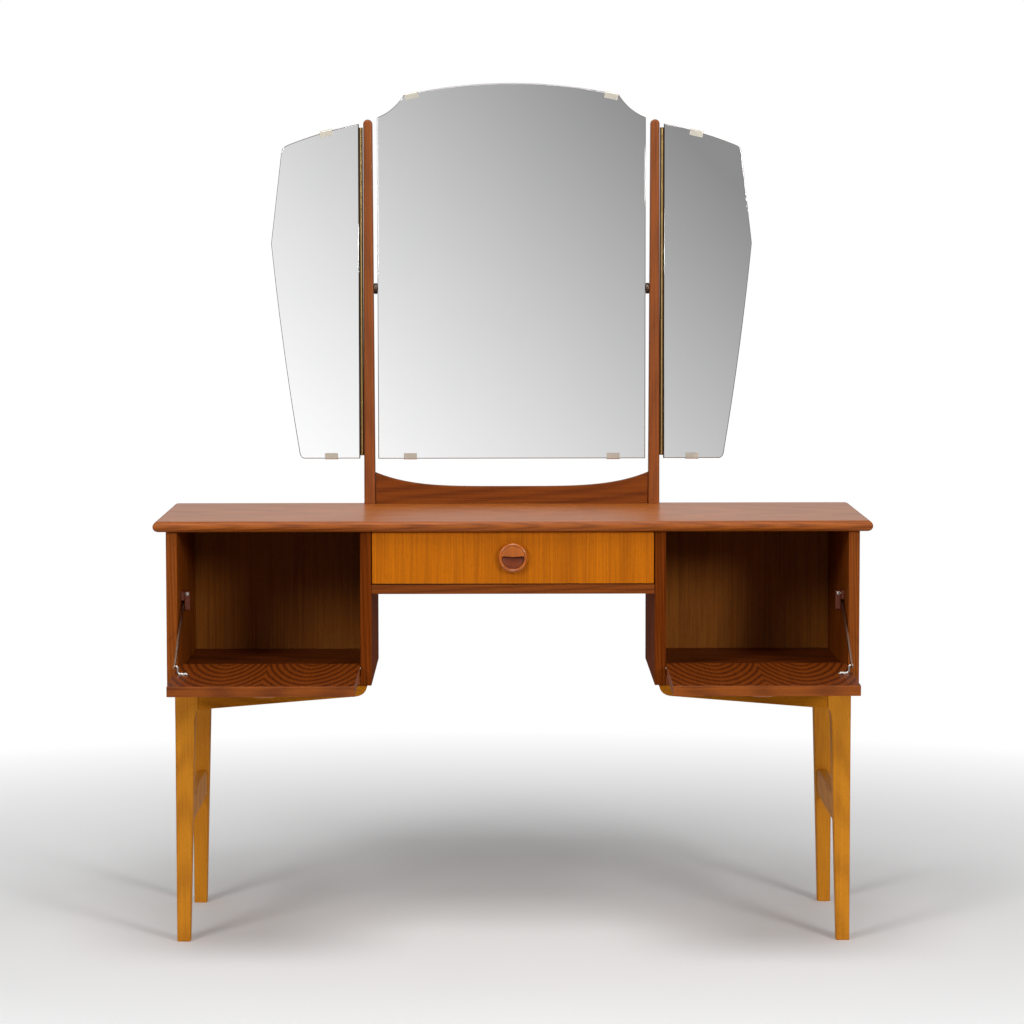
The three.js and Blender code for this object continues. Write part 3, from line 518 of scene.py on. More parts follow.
def cabinet_floor(hand):
    """A board whose front part is lower by the step; its section is carried along X."""
    low, high = corners_of(f"{hand}_cabinet_floor")
    front, back = low[1], high[1]
    under, over = low[2], high[2]
    dropped = over - FLOOR_DROP
    corners = [(front, under), (back, under), (back, over), (FLOOR_STEP, over), (FLOOR_STEP, dropped),
               (front, dropped)]
    section = rounded(corners, [0.9, 0.9, 0.9, 0.7, 0.6, 0.9])
    piece(f"{hand}_cabinet_floor_board", [prism(section, low[0], high[0], 0, 0.4)], inner_teak, "carcass",
          f"{hand}_cabinet_floor", "xyz")


for hand in SIDES:
    cad_board(f"{hand}_outer_side", "carcass", teak, 0, "zyx", 0.9)
    cad_board(f"{hand}_inner_side", "carcass", teak_inner_side_painted_shade, 0, "zyx", 0.9)
    cad_board(f"{hand}_cabinet_back", "carcass", hardboard, 1, "zxy", 0.2, 0.6)
    cabinet_floor(hand)
    cad_board(f"{hand}_drawer_runner", "carcass", pale_wood, 0, "yxz")
    cad_board(f"drawer_{hand}_side", "drawer", pale_wood, 0, "yzx")
cad_board("drawer_rail", "carcass", teak_rail, 1, "xzy")
cad_board("drawer_bay_back", "carcass", inner_teak, 1, "xzy")
cad_board("drawer_front", "drawer", honey_teak, 1, "zxy", 0.9)
cad_board("drawer_back", "drawer", pale_wood, 1, "xzy")
cad_board("drawer_bottom", "drawer", pale_wood, 2, "xyz", 0.4)


# ---------- knobs ----------
KNOB_STEPS = 240  # round the knob
KNOB_FIELD = 12.7  # height of the flat field inside the rim
FIELD_R = 19.9
GROOVE_R = 19.4
HOLLOW_R = 18.9
HOLLOW_DEEP = 8.8
LIP_UP = 3.4  # the lip's ends, above the knob's middle
LIP_SAG = 2.1
LIP_HALF = 17
DRAWER_KNOB = [0, 15.7, 649.5]
# the back and the rim, as (radius, height)
KNOB_RIM = np.array([(0.01, 0), (21.4, 0), (22, 0), (24.3, 2.1), (25.2, 4.2), (25.5, 6), (25.4, 8),
                     (24.9, 9.9), (23.9, 11.8), (22.9, 12.9), (21.9, 13.4), (21.2, 13.4), (20.6, 13.1),
                     (20.2, 12.6)])


def knob():
    """A turned knob on a polar grid, its axis along -Y and its back at y = 0.  Behind the face the grid
    follows the rim's profile; on the face the height is a flat field inside a thin groove, less a half-moon
    hollow that drops steeply under a slightly sagging lip and rises again towards the lower rim."""
    rim = len(KNOB_RIM)
    radius = np.concatenate([KNOB_RIM[:, 0], np.linspace(FIELD_R, 0.01, 62)])[:, None]
    angle = np.linspace(0, 2 * np.pi, KNOB_STEPS, endpoint=False)[None, :]
    across, up = radius * np.cos(angle), radius * np.sin(angle)
    groove = 0.9 * np.exp(-(((radius - GROOVE_R) / 0.5) ** 2))
    lip = LIP_UP - LIP_SAG * (1 - np.clip(np.abs(across) / LIP_HALF, 0, 1) ** 2)
    under_lip, inside = lip - up, HOLLOW_R - radius
    blend = 2.2
    nearest = -np.log(np.exp(-under_lip / blend) + np.exp(-inside / blend)) * blend + 0.5
    fall = np.clip(nearest / 1.1, 0, 1)
    fall = fall * fall * (3 - 2 * fall)
    bowl = (1 - 0.62 * np.clip(-up / 19, 0, 1) ** 1.5) * (1 - 0.25 * np.clip(np.abs(across) / 19, 0, 1) ** 2)
    field = KNOB_FIELD - groove - fall * HOLLOW_DEEP * bowl
    height = np.concatenate([np.broadcast_to(KNOB_RIM[:, 1:], (rim, KNOB_STEPS)), field[rim:]])
    return np.stack([across, -height, up], -1)


def knob_piece(name, points, body, stands_for):
    """A knob at its place; the faces well below the field, inside the hollow, get a darker copy of its
    finish: painted shade under the lip.
    """
    plain = knob()
    depth = plain[:-1, :, 1] + KNOB_FIELD
    inside = np.hypot(plain[:-1, :, 0], plain[:-1, :, 2]) < HOLLOW_R + 0.3
    # the faces inside the hollow, which take the painted shade
    hollow_shade_faces = ((depth > 1.0) & inside).astype(int).ravel()
    piece(name, [points], [knob_teak, hollow_teak_painted_shade], body, stands_for,
          grain=plain.reshape(-1, 3)[:, [2, 0, 1]] / 1000 + [0.3, 0.01, 0.05],
          flags=np.concatenate([hollow_shade_faces, [0, 0]]))


knob_piece("drawer_knob_turned", knob() + DRAWER_KNOB, "drawer", "drawer_knob")


# ---------- flaps ----------
DROOP = math.radians(1.73)  # an open flap hangs this far below level
PIN = np.array([0, 24.5, 461.05])
FLAP_X = (256.5, 559.8)
FLAP_MIDDLE = sum(FLAP_X) / 2
FLAP_OUT = 9.5  # from the pins to the outer face
FLAP_IN = 7.5  # from the pins to the inner face
FLAP_HIGH = 230.4  # from the pins to the upper edge
KNOB_DOWN = 97  # from the upper edge to the knob
PIN_R = 2.5
PIN_HALF = 8


def on_flap(points):
    """Places given about the flap's pins, moved to the open flap."""
    return spun(points, "X", DROOP) + PIN


def flap_section():
    """The flap's section about its pins: eased upper corners, and a quarter circle below, so that the edge
    clears the floor's step as the flap turns."""
    block = rounded([(-FLAP_HIGH, -FLAP_OUT), (30, -FLAP_OUT), (30, FLAP_IN), (-FLAP_HIGH, FLAP_IN)], 1.2)
    corner = math.pi / 2 * np.linspace(0, 1, 7)[:, None]
    nose = np.hstack([1 + FLAP_OUT * np.sin(corner), -FLAP_OUT * np.cos(corner)])
    eased = [(10.5, 6.3), (10.2, 7.2), (9.3, FLAP_IN), (8.9, FLAP_IN)]
    section = np.concatenate([block[block[:, 0] < 0], [(0.4, -FLAP_OUT)], nose, eased])
    return section[np.argsort(np.arctan2(section[:, 1] + 1, section[:, 0] + 110))]


def flap_board(hand, s):
    """The section carried along X, with a ring at the middle where the two veneer leaves meet: the grain's
    place is the distance from the edge of its leaf, the same on both sides of that line."""
    rings = prism(flap_section(), s * FLAP_X[0], s * FLAP_X[1], 0, 0.8)
    half = len(rings) // 2
    match = rings[half].copy()
    match[:, 0] = s * FLAP_MIDDLE
    rings = np.concatenate([rings[:half], [match], rings[half:]])
    local = rings.reshape(-1, 3) / 1000
    leaf = (FLAP_X[1] - FLAP_X[0]) / 4000
    across = leaf - np.abs(local[:, 0] - s * FLAP_MIDDLE / 1000)
    piece(f"{hand}_flap_board", [on_flap(rings)], [teak_figured, teak_lipping], f"{hand}_flap",
          f"{hand}_flap_panel",
          grain=np.stack([-local[:, 1], across, local[:, 2] * 0.3 + 0.004 * s], 1),
          lipping=local[:, [0, 2, 1]] + [0.7 + 0.3 * s, 0, 0.02],
          pick=lambda normal, middle: (np.abs(normal[:, 2]) < 0.9).astype(int))


def flap_pins(hand, s):
    """Round pins with eased ends, half in the flap and half in the cabinet's side."""
    profile = [(0, -PIN_HALF), (PIN_R - 0.4, -PIN_HALF), (PIN_R, -PIN_HALF + 0.4), (PIN_R, PIN_HALF - 0.4),
               (PIN_R - 0.4, PIN_HALF), (0, PIN_HALF)]
    pin = spun(lathe(profile), "Y", math.pi / 2)
    pins = [pin + PIN + [s * (x + side), 0, 0] for x, side in zip(FLAP_X, (-0.5, 0.5))]
    piece(f"{hand}_flap_pins", pins, bright_metal, "carcass")


for hand, s in SIDES.items():
    flap_board(hand, s)
    turned = spun(knob(), "X", math.pi / 2) + [s * FLAP_MIDDLE, KNOB_DOWN - FLAP_HIGH, -FLAP_OUT - GAP]
    knob_piece(f"{hand}_flap_knob_turned", on_flap(turned), f"{hand}_flap", f"{hand}_flap_knob")
    flap_pins(hand, s)


# ---------- stays ----------
STAY_X = 557.0  # plane of the rods
FOOT_Y = -109.0  # the rod's pin, along the flap
FOOT_LOW = 9.5  # middle of the wire on the flap
FOOT_HIGH = 21.7  # middle of the rod's pin
WIRE_R = 1.7
GUIDE = np.array([0, 85.0, 568.0])
ROD_FOOT = spun(np.array([[0, FOOT_Y, FOOT_HIGH]]), "X", DROOP)[0] + PIN
ROD_ANGLE = math.atan2(GUIDE[2] - ROD_FOOT[2], GUIDE[1] - ROD_FOOT[1])
ROD_REACH = math.hypot(GUIDE[2] - ROD_FOOT[2], GUIDE[1] - ROD_FOOT[1])
ROD_R = 2.0
EYE_R = 3.25
COLLAR_TALL = 4
GUIDE_WIDE = 15.0
GUIDE_WALL = 3.3  # from the rod's plane to the cabinet's side
GUIDE_HALF = 17.5  # half its height
GUIDE_UP = 2
GROOVE_HALF = 6.7
GROOVE_RISE = -0.6


def short_line(a, b, count):
    """Points from a towards b, without b."""
    return np.linspace(a, b, count, endpoint=False)


def stay_foot(s):
    """The foot's wire: along the flap, up through a bend, and out through another to the rod's pin."""
    low, high, bend = FOOT_LOW, FOOT_HIGH, 3
    start, rise = STAY_X - 20, STAY_X - 5
    path = np.concatenate([
        short_line((start, low), (rise - bend, low), 8),
        quad_curve((rise - bend, low), (rise, low), (rise, low + bend), 6)[:-1],
        short_line((rise, low + bend), (rise, high - bend), 4),
        quad_curve((rise, high - bend), (rise, high), (rise + bend, high), 6)[:-1],
        np.linspace((rise + bend, high), (STAY_X + 2.6, high), 6),
    ])
    places = np.stack([s * path[:, 0], np.full(len(path), FOOT_Y), path[:, 1]], 1)
    thick = np.full(len(path), WIRE_R)
    thick[[0, -1]] = 1.1
    pad = [(0, 0), (2.7, 0), (3, 0.3), (3, 1.3), (2.7, 1.6), (0, 1.6)]
    pads = [lathe(pad, 24) + [s * (start + 8 * k), FOOT_Y, FLAP_IN + GAP] for k in (0, 1)]
    heads = [spun(screw(2.3, 0.8), "Z", 0.6 + k) + [s * (start + 4 + 8 * k), FOOT_Y - 3.6, FLAP_IN + 0.4]
             for k in (0, 1)]
    return [tube(places, thick), *pads, *heads]


def stay_rod(s):
    """A rod with a ring eye at its foot and a stop collar past the guide, drawn along +Y and leaned to meet
    the guide."""
    t = np.linspace(0, 2 * np.pi, 40, endpoint=False)
    ring = np.stack([np.zeros(40), EYE_R * np.cos(t), EYE_R * np.sin(t)], 1)
    eye = tube(ring, 1.15, 14, looped=True)
    eye[..., 0] *= 1.5
    collar_at = ROD_REACH + 8 / math.cos(ROD_ANGLE) + 8
    end = collar_at + COLLAR_TALL + 2.4
    rod = [(0, 3.4), (1.8, 3.4), (ROD_R, 3.8), (ROD_R, end - 0.6), (1.5, end), (0, end)]
    collar = [(0, 0), (3.0, 0), (3.4, 0.4), (3.4, COLLAR_TALL - 0.4), (3.0, COLLAR_TALL), (0, COLLAR_TALL)]
    upright = [lathe(rod, 20), lathe(collar, 28) + [0, 0, collar_at]]
    flat = [skin(eye, looped=True), *[skin(spun(part, "X", -math.pi / 2)) for part in upright]]
    place = [s * STAY_X, ROD_FOOT[1], ROD_FOOT[2]]
    return [(spun(points, "X", ROD_ANGLE) + place, groups) for points, groups in flat]


def stay_guide(s):
    """A rounded block with a groove on its wall side that slopes with the rod: a full-height front block and
    two cheeks, above and below the groove, whose facing edges follow the slope."""
    groove_x = -2.5
    low, high = GUIDE_UP - GUIDE_HALF, GUIDE_UP + GUIDE_HALF
    slope = math.tan(ROD_ANGLE)
    half, rise = GROOVE_HALF / math.cos(ROD_ANGLE), GROOVE_RISE / math.cos(ROD_ANGLE)

    def edge(y, way):
        return y, rise + way * half + slope * y

    front = rounded([(-8, low), (8, low), (8, high), (-8, high)], 5, 6)
    upper = rounded([edge(-8, 1), edge(8, 1), (8, high), (-8, high)], [0.8, 0.8, 5, 5], 6)
    lower = rounded([(-5, low), (8, low), edge(8, -1), edge(-7.6, -1)], [1, 5, 0.8, 0.5], 6)
    block_x = (s * (GUIDE_WALL - GUIDE_WIDE), s * groove_x)
    cheek_x = (s * (groove_x + 0.05), s * GUIDE_WALL)
    place = [s * STAY_X, GUIDE[1], GUIDE[2]]
    blocks = [prism(front, *block_x, 0, 1.6), prism(upper, *cheek_x, 0, 0.2), prism(lower, *cheek_x, 0, 0.2)]
    return [block + place for block in blocks]


for hand, s in SIDES.items():
    foot = [skin(on_flap(part)) for part in stay_foot(s)]
    piece(f"{hand}_stay_foot_wire", foot, bright_metal, f"{hand}_flap", f"{hand}_stay_foot")
    piece(f"{hand}_stay_rod_bar", stay_rod(s), rod_metal, f"{hand}_stay_rod",
          f"{hand}_stay_rod")
    piece(f"{hand}_stay_guide_block", stay_guide(s), brown_plastic, f"{hand}_stay_guide",
          f"{hand}_stay_guide")
    head = spun(screw(3.4, 1.0), "X", math.pi / 2) + [s * (STAY_X - 6.5), GUIDE[1] - 8.0, GUIDE[2] + 14.0]
    piece(f"{hand}_stay_guide_screw", [head], bright_metal, f"{hand}_stay_guide")


# ---------- legs ----------
LEG_TOP = 433.7
LEG_OUT = 566.5  # outer face
LEG_FRONT = 18  # front faces of the front legs
LEG_REAR = 384  # back faces of the rear legs
LEG_PLACES = (("front", LEG_FRONT, 1), ("rear", LEG_REAR, -1))
RAIL_THICK = 24
RAIL_LOW = 393.4
STRETCHER_X = (541, 559)
STRETCHER_Z = (195.5, 239.5)


def leg_depth(z):
    """A leg deepens evenly from 22 at the floor to 36 under the case."""
    return 22 + 14 * z / LEG_TOP


def leg(s, face_y, inward):
    """Rounded rectangles stacked up the leg: its outer face is straight, and its inner face runs from 544 at
    the foot to 534, then turns out to the rail at 528 on a parabola.  Above 372 the rounding dies away."""
    straight = np.linspace((544, 0), (534, 368), 12)[:-1]
    turn = quad_curve((534, 368), (533.6, 389.4), (528, RAIL_LOW), 9)
    upright = np.linspace((528, 395), (528, LEG_TOP), 4)
    x, z = np.concatenate([straight[:1], [(544, 1.2)], straight[1:], turn, upright]).T
    far = face_y + inward * leg_depth(z)
    near, outer = np.full(len(z), face_y), np.full(len(z), s * LEG_OUT)
    across = np.stack([s * x, outer, outer, s * x], -1)
    along = np.stack([near, near, far, far], -1)
    round_by = np.where(z < 372, 3.2, np.maximum(0.9, 3.2 - (z - 372) * 0.13))
    rings = rounded(np.stack([across, along], -1), round_by[:, None], 5)
    rings[0] = inset(rings[0], 1.0)
    return np.concatenate([rings, np.broadcast_to(z[:, None, None], rings.shape[:2] + (1,))], -1)


def rail(s, y0, y1):
    """The rail's outline: straight above, a slightly rising underside, and an end that curves up to the
    case."""
    curve = quad_curve((266, 414.9), (246.5, 416.4), (244.5, LEG_TOP), 14)
    corners = np.concatenate([[(527.7, LEG_TOP), (527.7, RAIL_LOW)], curve])
    outline = np.column_stack([s * corners[:, 0], corners[:, 1]])
    return prism(outline, y0, y1, 1, 1.8)


def stretcher(s):
    """A rail from leg to leg with rounded long edges; its ends lean with the legs' taper."""
    (x0, x1), (z0, z1) = STRETCHER_X, STRETCHER_Z
    ring = rounded([(s * x0, z0), (s * x1, z0), (s * x1, z1), (s * x0, z1)], 3.6, 6)
    front = LEG_FRONT + leg_depth(ring[:, 1]) + GAP
    back = LEG_REAR - leg_depth(ring[:, 1]) - GAP
    t = np.linspace(0, 1, 4)[:, None]
    y = front * (1 - t) + back * t
    x, z = np.broadcast_to(ring[:, 0], y.shape), np.broadcast_to(ring[:, 1], y.shape)
    return np.stack([x, y, z], -1)


for hand, s in SIDES.items():
    for place, face, inward in LEG_PLACES:
        piece(f"{hand}_{place}_leg_shaped", [leg(s, face, inward)], beech_wood, "carcass",
              f"{hand}_{place}_leg", "zxy")
    for place, face, inward in LEG_PLACES:
        ends = sorted((face, face + inward * RAIL_THICK))
        piece(f"{hand}_{place}_rail_shaped", [rail(s, *ends)], beech_rail_painted_shade, "carcass",
              f"{hand}_{place}_rail", "xzy")
    piece(f"{hand}_stretcher_shaped", [stretcher(s)], beech_wood, "carcass", f"{hand}_stretcher",
          "yzx")


# ---------- posts and the rail between them ----------
FOOT_Z = 711.3
POST_TOP = 1387
POST_FOOT_X = (241.2, 261)
POST_Y = (371, 395.5)
CREST_HALF = 240.9
CREST_Y = (376, 390)


def standing(outline, limits, edge):
    """An outline carried back between limits and rounded, with its foot cut flat on the tabletop."""
    rings = prism(outline, *limits, 1, edge)
    rings[..., 2] = np.maximum(rings[..., 2], FOOT_Z)
    return rings


def post(s):
    """A tapering post whose top is a half circle; its front and back edges are rounded all the way up."""
    r, mid = 7.9, 252.1
    a = np.linspace(0, np.pi, 15)
    top = np.column_stack([mid + r * np.cos(a), POST_TOP - r + r * np.sin(a)])
    sides = np.array([(x, FOOT_Z - 6) for x in POST_FOOT_X])
    return standing(turned_right(np.concatenate([sides, top]) * [s, 1]), POST_Y, 3)


def crest():
    """The rail's upper edge is level in the middle and rises as the fourth power of the distance out."""
    t = np.linspace(1, -1, 61)
    top = np.column_stack([CREST_HALF * t, 741.4 + 25.1 * t**4])
    ends = [(-CREST_HALF, FOOT_Z - 6), (CREST_HALF, FOOT_Z - 6)]
    return standing(np.concatenate([ends, top]), CREST_Y, 1.8)


piece("mirror_rail_shaped", [crest()], teak_rail, "carcass", "mirror_rail", "xzy")
for hand, s in SIDES.items():
    piece(f"{hand}_mirror_post_shaped", [post(s)], teak_post, "carcass", f"{hand}_mirror_post", "zxy")


# ---------- mirrors ----------
MIRROR_TOP = 1450.5
MIRROR_HALF = 236
MIRROR_FOOT = 790.8
ARCH_HALF = 188.9
ARCH_RISE = MIRROR_TOP - 1429.8
ARCH_R = (ARCH_HALF**2 + ARCH_RISE**2) / (2 * ARCH_RISE)
WING_IN = 268
WING_FOOT = 791.2
GLASS_Y = (374.7, 378.7)
BACKING_Y = (379, 388)
EDGE_LINE = 0.9  # the backing shows this much round the glass
TOP_CLIP_X = 175.8


def centre_outline(by=0.0):
    """A shallow circle arc across the top, a cove at each upper corner, straight sides and bottom."""
    reach = math.asin(ARCH_HALF / ARCH_R)
    a = np.linspace(np.pi / 2 - reach, np.pi / 2 + reach, 33)
    arch = np.column_stack([ARCH_R * np.cos(a), MIRROR_TOP - ARCH_R + ARCH_R * np.sin(a)])
    cove = quad_curve((MIRROR_HALF, 1390.6), (206.4, 1401.8), (ARCH_HALF, MIRROR_TOP - ARCH_RISE), 12)
    foot = [(-MIRROR_HALF, MIRROR_FOOT), (MIRROR_HALF, MIRROR_FOOT)]
    whole = np.concatenate([foot, cove[:-1], arch, (cove[:-1] * [-1, 1])[::-1]])
    return inset(turned_right(whole), by)


def wing_outline(s, by=0.0):
    """Straight along the post and the foot; the outer edge swells to the widest place and runs in to a
    rounded corner, and the top falls outwards from the post."""
    parts = [
        [(WING_IN, WING_FOOT)],
        quad_curve((366, WING_FOOT), (374.5, WING_FOOT), (375.8, 806.2), 8),
        quad_curve((375.8, 806.2), (405, 985), (423, 1170.5), 18)[1:],
        quad_curve((404, 1331), (402.5, 1338.5), (395, 1341.9), 6),
        quad_curve((395, 1341.9), (336, 1366), (WING_IN, 1379.4), 16)[1:],
    ]
    return inset(turned_right(np.concatenate(parts) * [s, 1]), by)


def mirror_leaf(name, body, node_names, backing, glass):
    """Silvered glass with ground edges, before a backing board."""
    glass_node, board_node = node_names
    piece(f"{name}_silvered", [prism(glass, *GLASS_Y, 1, 0.4)], [mirror_glass, glass_edge], body,
          glass_node, pick=lambda normal, middle: (normal[:, 1] > -0.9).astype(int))
    piece(f"{name}_backing", [prism(backing, *BACKING_Y, 1, 0.6)], ply_back, body, board_node,
          "zxy")


def clip_section():
    """The strip's middle line offset both ways by half its thickness; the bends are arcs of radius 1.2."""
    front, back, tab = 373.6, 389.1, 10.0
    half, r, ease = 0.4, 1.2, 0.3
    y0, y1, top = front + half, back - half, GAP + half
    a = np.linspace(0, np.pi / 2, 6)
    line = np.concatenate([
        [(y0, -tab), (y0, -tab * 0.5), (y0, top - r - ease)],
        np.column_stack([y0 + r - r * np.cos(a), top - r + r * np.sin(a)]),
        [(y0 + r + ease, top), (y1 - r - ease, top)],
        np.column_stack([y1 - r + r * np.sin(a), top - r + r * np.cos(a)]),
        [(y1, top - r - ease), (y1, -tab * 0.5), (y1, -tab)],
    ])
    along = np.gradient(line, axis=0)
    along /= np.linalg.norm(along, axis=1)[:, None]
    side = np.column_stack([-along[:, 1], along[:, 0]])
    return np.concatenate([line + half * side, (line - half * side)[::-1]])


def clip(x, z, angle):
    """A bent strip over the glass edge: two tabs and a rounded bridge, carried across its width."""
    return spun(prism(clip_section(), -11.5, 11.5, 0, 0.25), "Y", angle) + [x, 0, z]


mirror_leaf("centre_mirror", "centre_mirror", ("centre_glass", "centre_backboard"), centre_outline(),
            centre_outline(EDGE_LINE))
clip_turn = math.asin(TOP_CLIP_X / ARCH_R)
clip_top = MIRROR_TOP - ARCH_R * (1 - math.cos(clip_turn))
for hand, s in SIDES.items():
    mirror_leaf(f"{hand}_wing_mirror", f"{hand}_wing", (f"{hand}_wing_glass", f"{hand}_wing_backboard"),
                wing_outline(s), wing_outline(s, EDGE_LINE))
    for label, body, place in (
        (f"centre_clip_top_{hand}", "centre_mirror", (s * TOP_CLIP_X, clip_top, s * clip_turn)),
        (f"centre_clip_bottom_{hand}", "centre_mirror", (s * 179.3, MIRROR_FOOT, math.pi)),
        (f"{hand}_wing_clip_top", f"{hand}_wing", (s * 326, 1367.2, s * 0.236)),
        (f"{hand}_wing_clip_bottom", f"{hand}_wing", (s * 318.6, WING_FOOT, math.pi)),
    ):
        piece(f"{label}_strip", [clip(*place)], clip_metal, body, label)


# ---------- tilt pivots and hinges ----------
TILT_Z = 1091
TILT_Y = 383.5
HINGE_Z = (797, 1373)
HINGE_X = 264.3
HINGE_Y = 374
HINGE_R = 1.5
KNUCKLE = 48


def tilt_pivot(s):
    """A turned disc with a stepped face between mirror and post, on a stud and a spigot."""
    inner = POST_FOOT_X[0] + 3 * (TILT_Z - TOP_Z) / (POST_TOP - TOP_Z)
    face, near = inner - 0.5, MIRROR_HALF + 0.5
    stud = [(0, 218), (2.3, 218), (2.5, 218.4), (2.5, near)]
    disc = [(8.5, near), (9.2, near + 0.3), (9.5, near + 1), (9.5, face - 1), (9.2, face - 0.3), (8.5, face)]
    spigot = [(3, face), (3, inner + 11.7), (2.7, inner + 12), (0, inner + 12)]
    return spun(lathe(stud + disc + spigot, 40), "Y", s * math.pi / 2) + [0, TILT_Y, TILT_Z]


def hinge_leaf(s, x, y, thin=0, edge=0.12):
    return board([s * side for side in x], y, HINGE_Z, thin, edge)


def barrel(s):
    """The hinge's barrel: a rod with a shallow waist at each knuckle's ends."""
    low, high = HINGE_Z
    z = np.linspace(low, high, high - low + 1)
    along = (z - low) % KNUCKLE
    waist = np.exp(-(along**2) / 0.4) + np.exp(-((along - KNUCKLE) ** 2) / 0.4)
    r = HINGE_R - 0.35 * np.clip(waist, 0, 1)
    profile = np.concatenate([[(0, low)], np.column_stack([r, z]), [(0, high)]])
    return lathe(profile, 16) + [s * HINGE_X, HINGE_Y, 0]


for hand, s in SIDES.items():
    piece(f"{hand}_tilt_pivot_turned", [tilt_pivot(s)], dark_metal, "centre_mirror",
          f"{hand}_tilt_pivot")
    web = hinge_leaf(s, (HINGE_X, 267.6), (373.5, 374.3), 1, 0.1)
    strips = [skin(part) for part in (barrel(s), web, hinge_leaf(s, (266.8, 267.6), (373.5, 387)))]
    piece(f"{hand}_wing_hinge_strip", strips, [brass, brass_shaded_copy], f"{hand}_wing",
          f"{hand}_wing_hinge", flags=np.repeat([0, 1, 1], [face_count(strip) for strip in strips]))
    turned_in = hinge_leaf(s, (261.2, 263.9), (376.3, 377), 1, 0.1)
    piece(f"{hand}_post_hinge_leaf", [hinge_leaf(s, (261.2, 261.9), (377.1, 388)), turned_in], brass_shaded_copy,
          "carcass")


# ---------- screws in the cabinet backs ----------
def back_screws(hand):
    """Three heads along the upper and the lower edge of a back, each slot turned its own way."""
    low, high = corners_of(f"{hand}_cabinet_back")
    across = (low[0] + 14, (low[0] + high[0]) / 2, high[0] - 14)
    heads = [spun(spun(screw(3.2, 0.8), "Z", 0.7 * row + x), "X", -math.pi / 2) + [x, high[1] + 0.1, z]
             for row, z in enumerate((low[2] + 9, high[2] - 9)) for x in across]
    piece(f"{hand}_back_screws", heads, brass, "carcass")


for hand in SIDES:
    back_screws(hand)


# ---------- floor and card ----------
FLOOR_R = 14
CARD_HALF = 4
CARD_Y = -9
CARD_TALL = 4
CARD_REACH = (-0.6, 2.4)  # x + z where its shading starts and ends


def plain_object(name, points, material):
    """One flat face, as an object of its own that no body holds."""
    mesh = bpy.data.meshes.new(name)
    mesh.from_pydata(np.asarray(points, float).tolist(), [], [list(range(len(points)))])
    mesh.materials.append(material)
    made = bpy.data.objects.new(name, mesh)
    bpy.context.collection.objects.link(made)
    return made


def floor_finish():
    """A pale matt floor that fades to plain white light away from the table."""
    material, tree, shader = started("pale_floor", Roughness=0.75)
    where = node(tree, "ShaderNodeTexCoord").outputs["Object"]
    mottle = noise(tree, where, (3, 3, 3), 4)
    pale = blended(tree, mottle, (0.86, 0.86, 0.86, 1), (0.9, 0.9, 0.9, 1))
    tree.links.new(pale, shader.inputs["Base Color"])
    reach = node(tree, "ShaderNodeVectorMath", {0: where}, operation="LENGTH").outputs["Value"]
    fade = spread(tree, reach, 0.9, 2.4, 0, 1)
    seen = spread(tree, node(tree, "ShaderNodeLightPath").outputs["Is Camera Ray"], 0, 1, 0.15, 1.0)
    glow = node(tree, "ShaderNodeEmission", {"Color": (1, 1, 1, 1), "Strength": seen})
    mix = node(tree, "ShaderNodeMixShader", {0: fade, 1: shader.outputs[0], 2: glow.outputs[0]})
    tree.links.new(mix.outputs[0], tree.nodes["Material Output"].inputs["Surface"])
    return material


def card_finish():
    """A soft board in front of the table that the mirrors look at: bright low on the left, darker up on the
    right.  At x metres across and z up, with v = x + z, its screen grey is 231.2 - 30.2 v - 3.5 v squared."""
    material = bpy.data.materials.new("studio_card")
    material.use_nodes = True
    tree = material.node_tree
    tree.nodes.remove(tree.nodes["Principled BSDF"])
    where = node(tree, "ShaderNodeTexCoord").outputs["Object"]
    split = node(tree, "ShaderNodeSeparateXYZ", {0: where})
    along = sums(tree, "ADD", split.outputs[0], split.outputs[2])
    start, end = CARD_REACH
    place = spread(tree, along, start, end, 0, 1)
    reach = np.linspace(start, end, 12)
    greys = 231.2 - 30.2 * reach - 3.5 * reach**2
    stops = [((v - start) / (end - start), tone(grey, grey, grey)) for v, grey in zip(reach, greys)]
    glow = node(tree, "ShaderNodeEmission", {"Color": ramp(tree, place, stops), "Strength": 1.15})
    tree.links.new(glow.outputs[0], tree.nodes["Material Output"].inputs["Surface"])
    return material


angle = np.linspace(0, 2 * np.pi, 96, endpoint=False)
plain_object("floor", np.column_stack([FLOOR_R * np.cos(angle), FLOOR_R * np.sin(angle), 0 * angle]),
             floor_finish())
card = plain_object("card", [(-CARD_HALF, CARD_Y, CARD_TALL), (CARD_HALF, CARD_Y, CARD_TALL),
                             (CARD_HALF, CARD_Y, 0), (-CARD_HALF, CARD_Y, 0)], card_finish())
card.visible_camera = False
card.visible_diffuse = False
card.visible_shadow = False


# ---------- light and camera ----------
WORLD_SEEN = 1.0
WORLD_LIGHT = 0.32
WORLD_GLOSS = 0.2  # more in reflections
CAMERA_PLACE = (-0.0313, -5.947, 1.2026)
CAMERA_TURN = (4.65, 0.29, -0.07)  # downwards, to the right, and about its own line, in degrees
LENS = 124.1


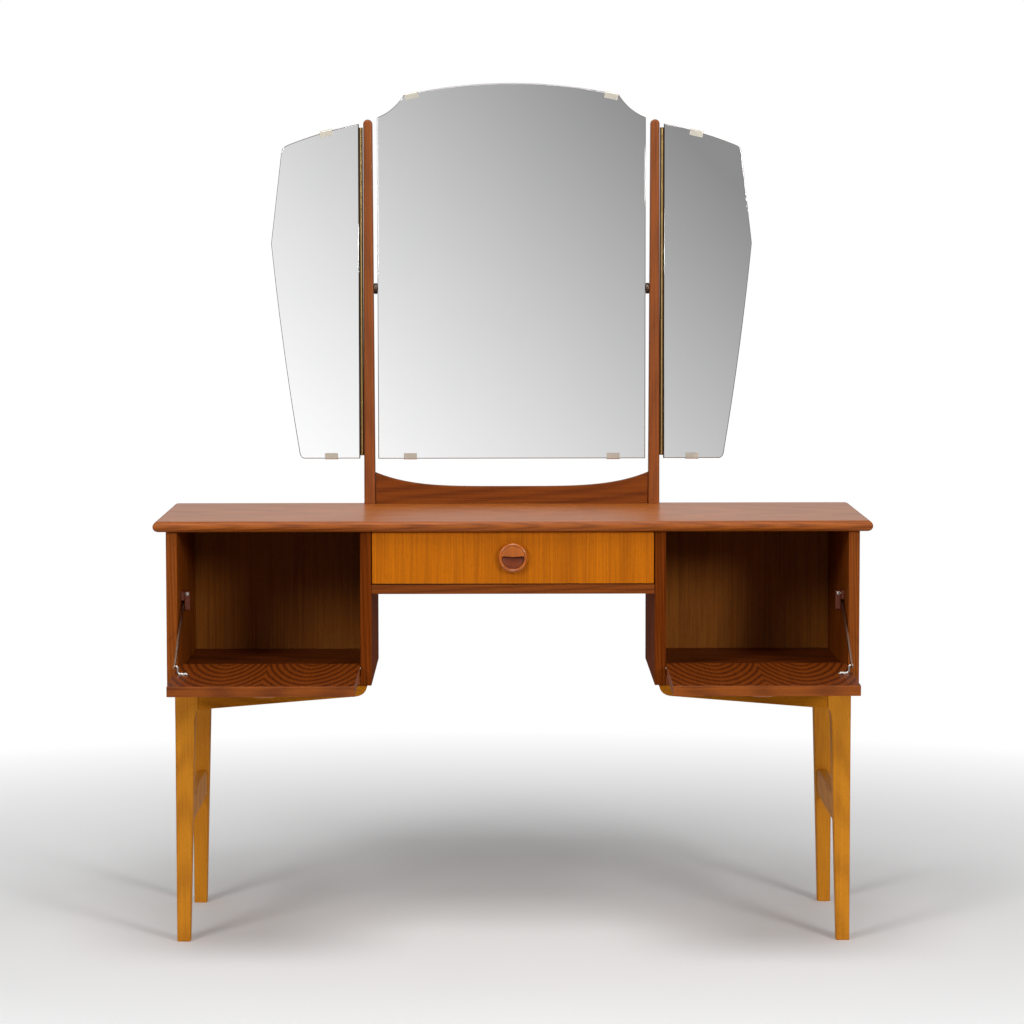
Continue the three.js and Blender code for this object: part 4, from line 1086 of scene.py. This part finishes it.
def studio_world():
    world = bpy.data.worlds.new("studio")
    bpy.context.scene.world = world
    world.use_nodes = True
    tree = world.node_tree
    ray = node(tree, "ShaderNodeLightPath").outputs
    plain = spread(tree, ray["Is Camera Ray"], 0, 1, WORLD_LIGHT, WORLD_SEEN)
    background = tree.nodes["Background"]
    background.inputs["Color"].default_value = (1, 1, 1, 1)
    strength = sums(tree, "MULTIPLY_ADD", ray["Is Glossy Ray"], WORLD_GLOSS, plain)
    tree.links.new(strength, background.inputs["Strength"])


def lamp(name, place, aim, size, power):
    """A round soft lamp turned towards a place."""
    light = bpy.data.lights.new(name, "AREA")
    light.shape = "DISK"
    light.size = size
    light.energy = power
    made = bpy.data.objects.new(name, light)
    bpy.context.collection.objects.link(made)
    back = np.array(place, float) - aim
    back /= np.linalg.norm(back)
    side = np.cross([0, 0, 1], back)
    side /= np.linalg.norm(side)
    set_axes(made, side, np.cross(back, side), back, place)


def set_axes(made, x, y, z, place):
    made.matrix_world = Matrix(np.vstack([np.column_stack([x, y, z, place]), [0, 0, 0, 1]]).tolist())


def set_camera():
    """Looks ahead by the turn's first two angles, then rolls about that line by the third."""
    pitch, yaw, roll = (math.radians(v) for v in CAMERA_TURN)
    ahead = np.array([math.sin(yaw) * math.cos(pitch), math.cos(yaw) * math.cos(pitch), -math.sin(pitch)])
    right = np.cross(ahead, [0, 0, 1])
    right /= np.linalg.norm(right)
    up = np.cross(right, ahead)
    c, s = math.cos(roll), math.sin(roll)
    lens = bpy.data.cameras.new("camera")
    lens.sensor_width = 36
    lens.lens = LENS
    camera = bpy.data.objects.new("camera", lens)
    bpy.context.collection.objects.link(camera)
    set_axes(camera, right * c + up * s, up * c - right * s, -ahead, CAMERA_PLACE)
    bpy.context.scene.camera = camera


studio_world()
lamp("key", (-2.2, -3.4, 2.3), (0, 0.1, 0.7), 1.2, 52)
lamp("fill", (2.2, -3.5, 1.75), (0, 0.1, 0.6), 0.9, 60)
lamp("overhead", (0, -1.3, 3.7), (0, 0.05, 0.7), 2.0, 58)
set_camera()
bpy.context.scene.view_settings.view_transform = "Standard"
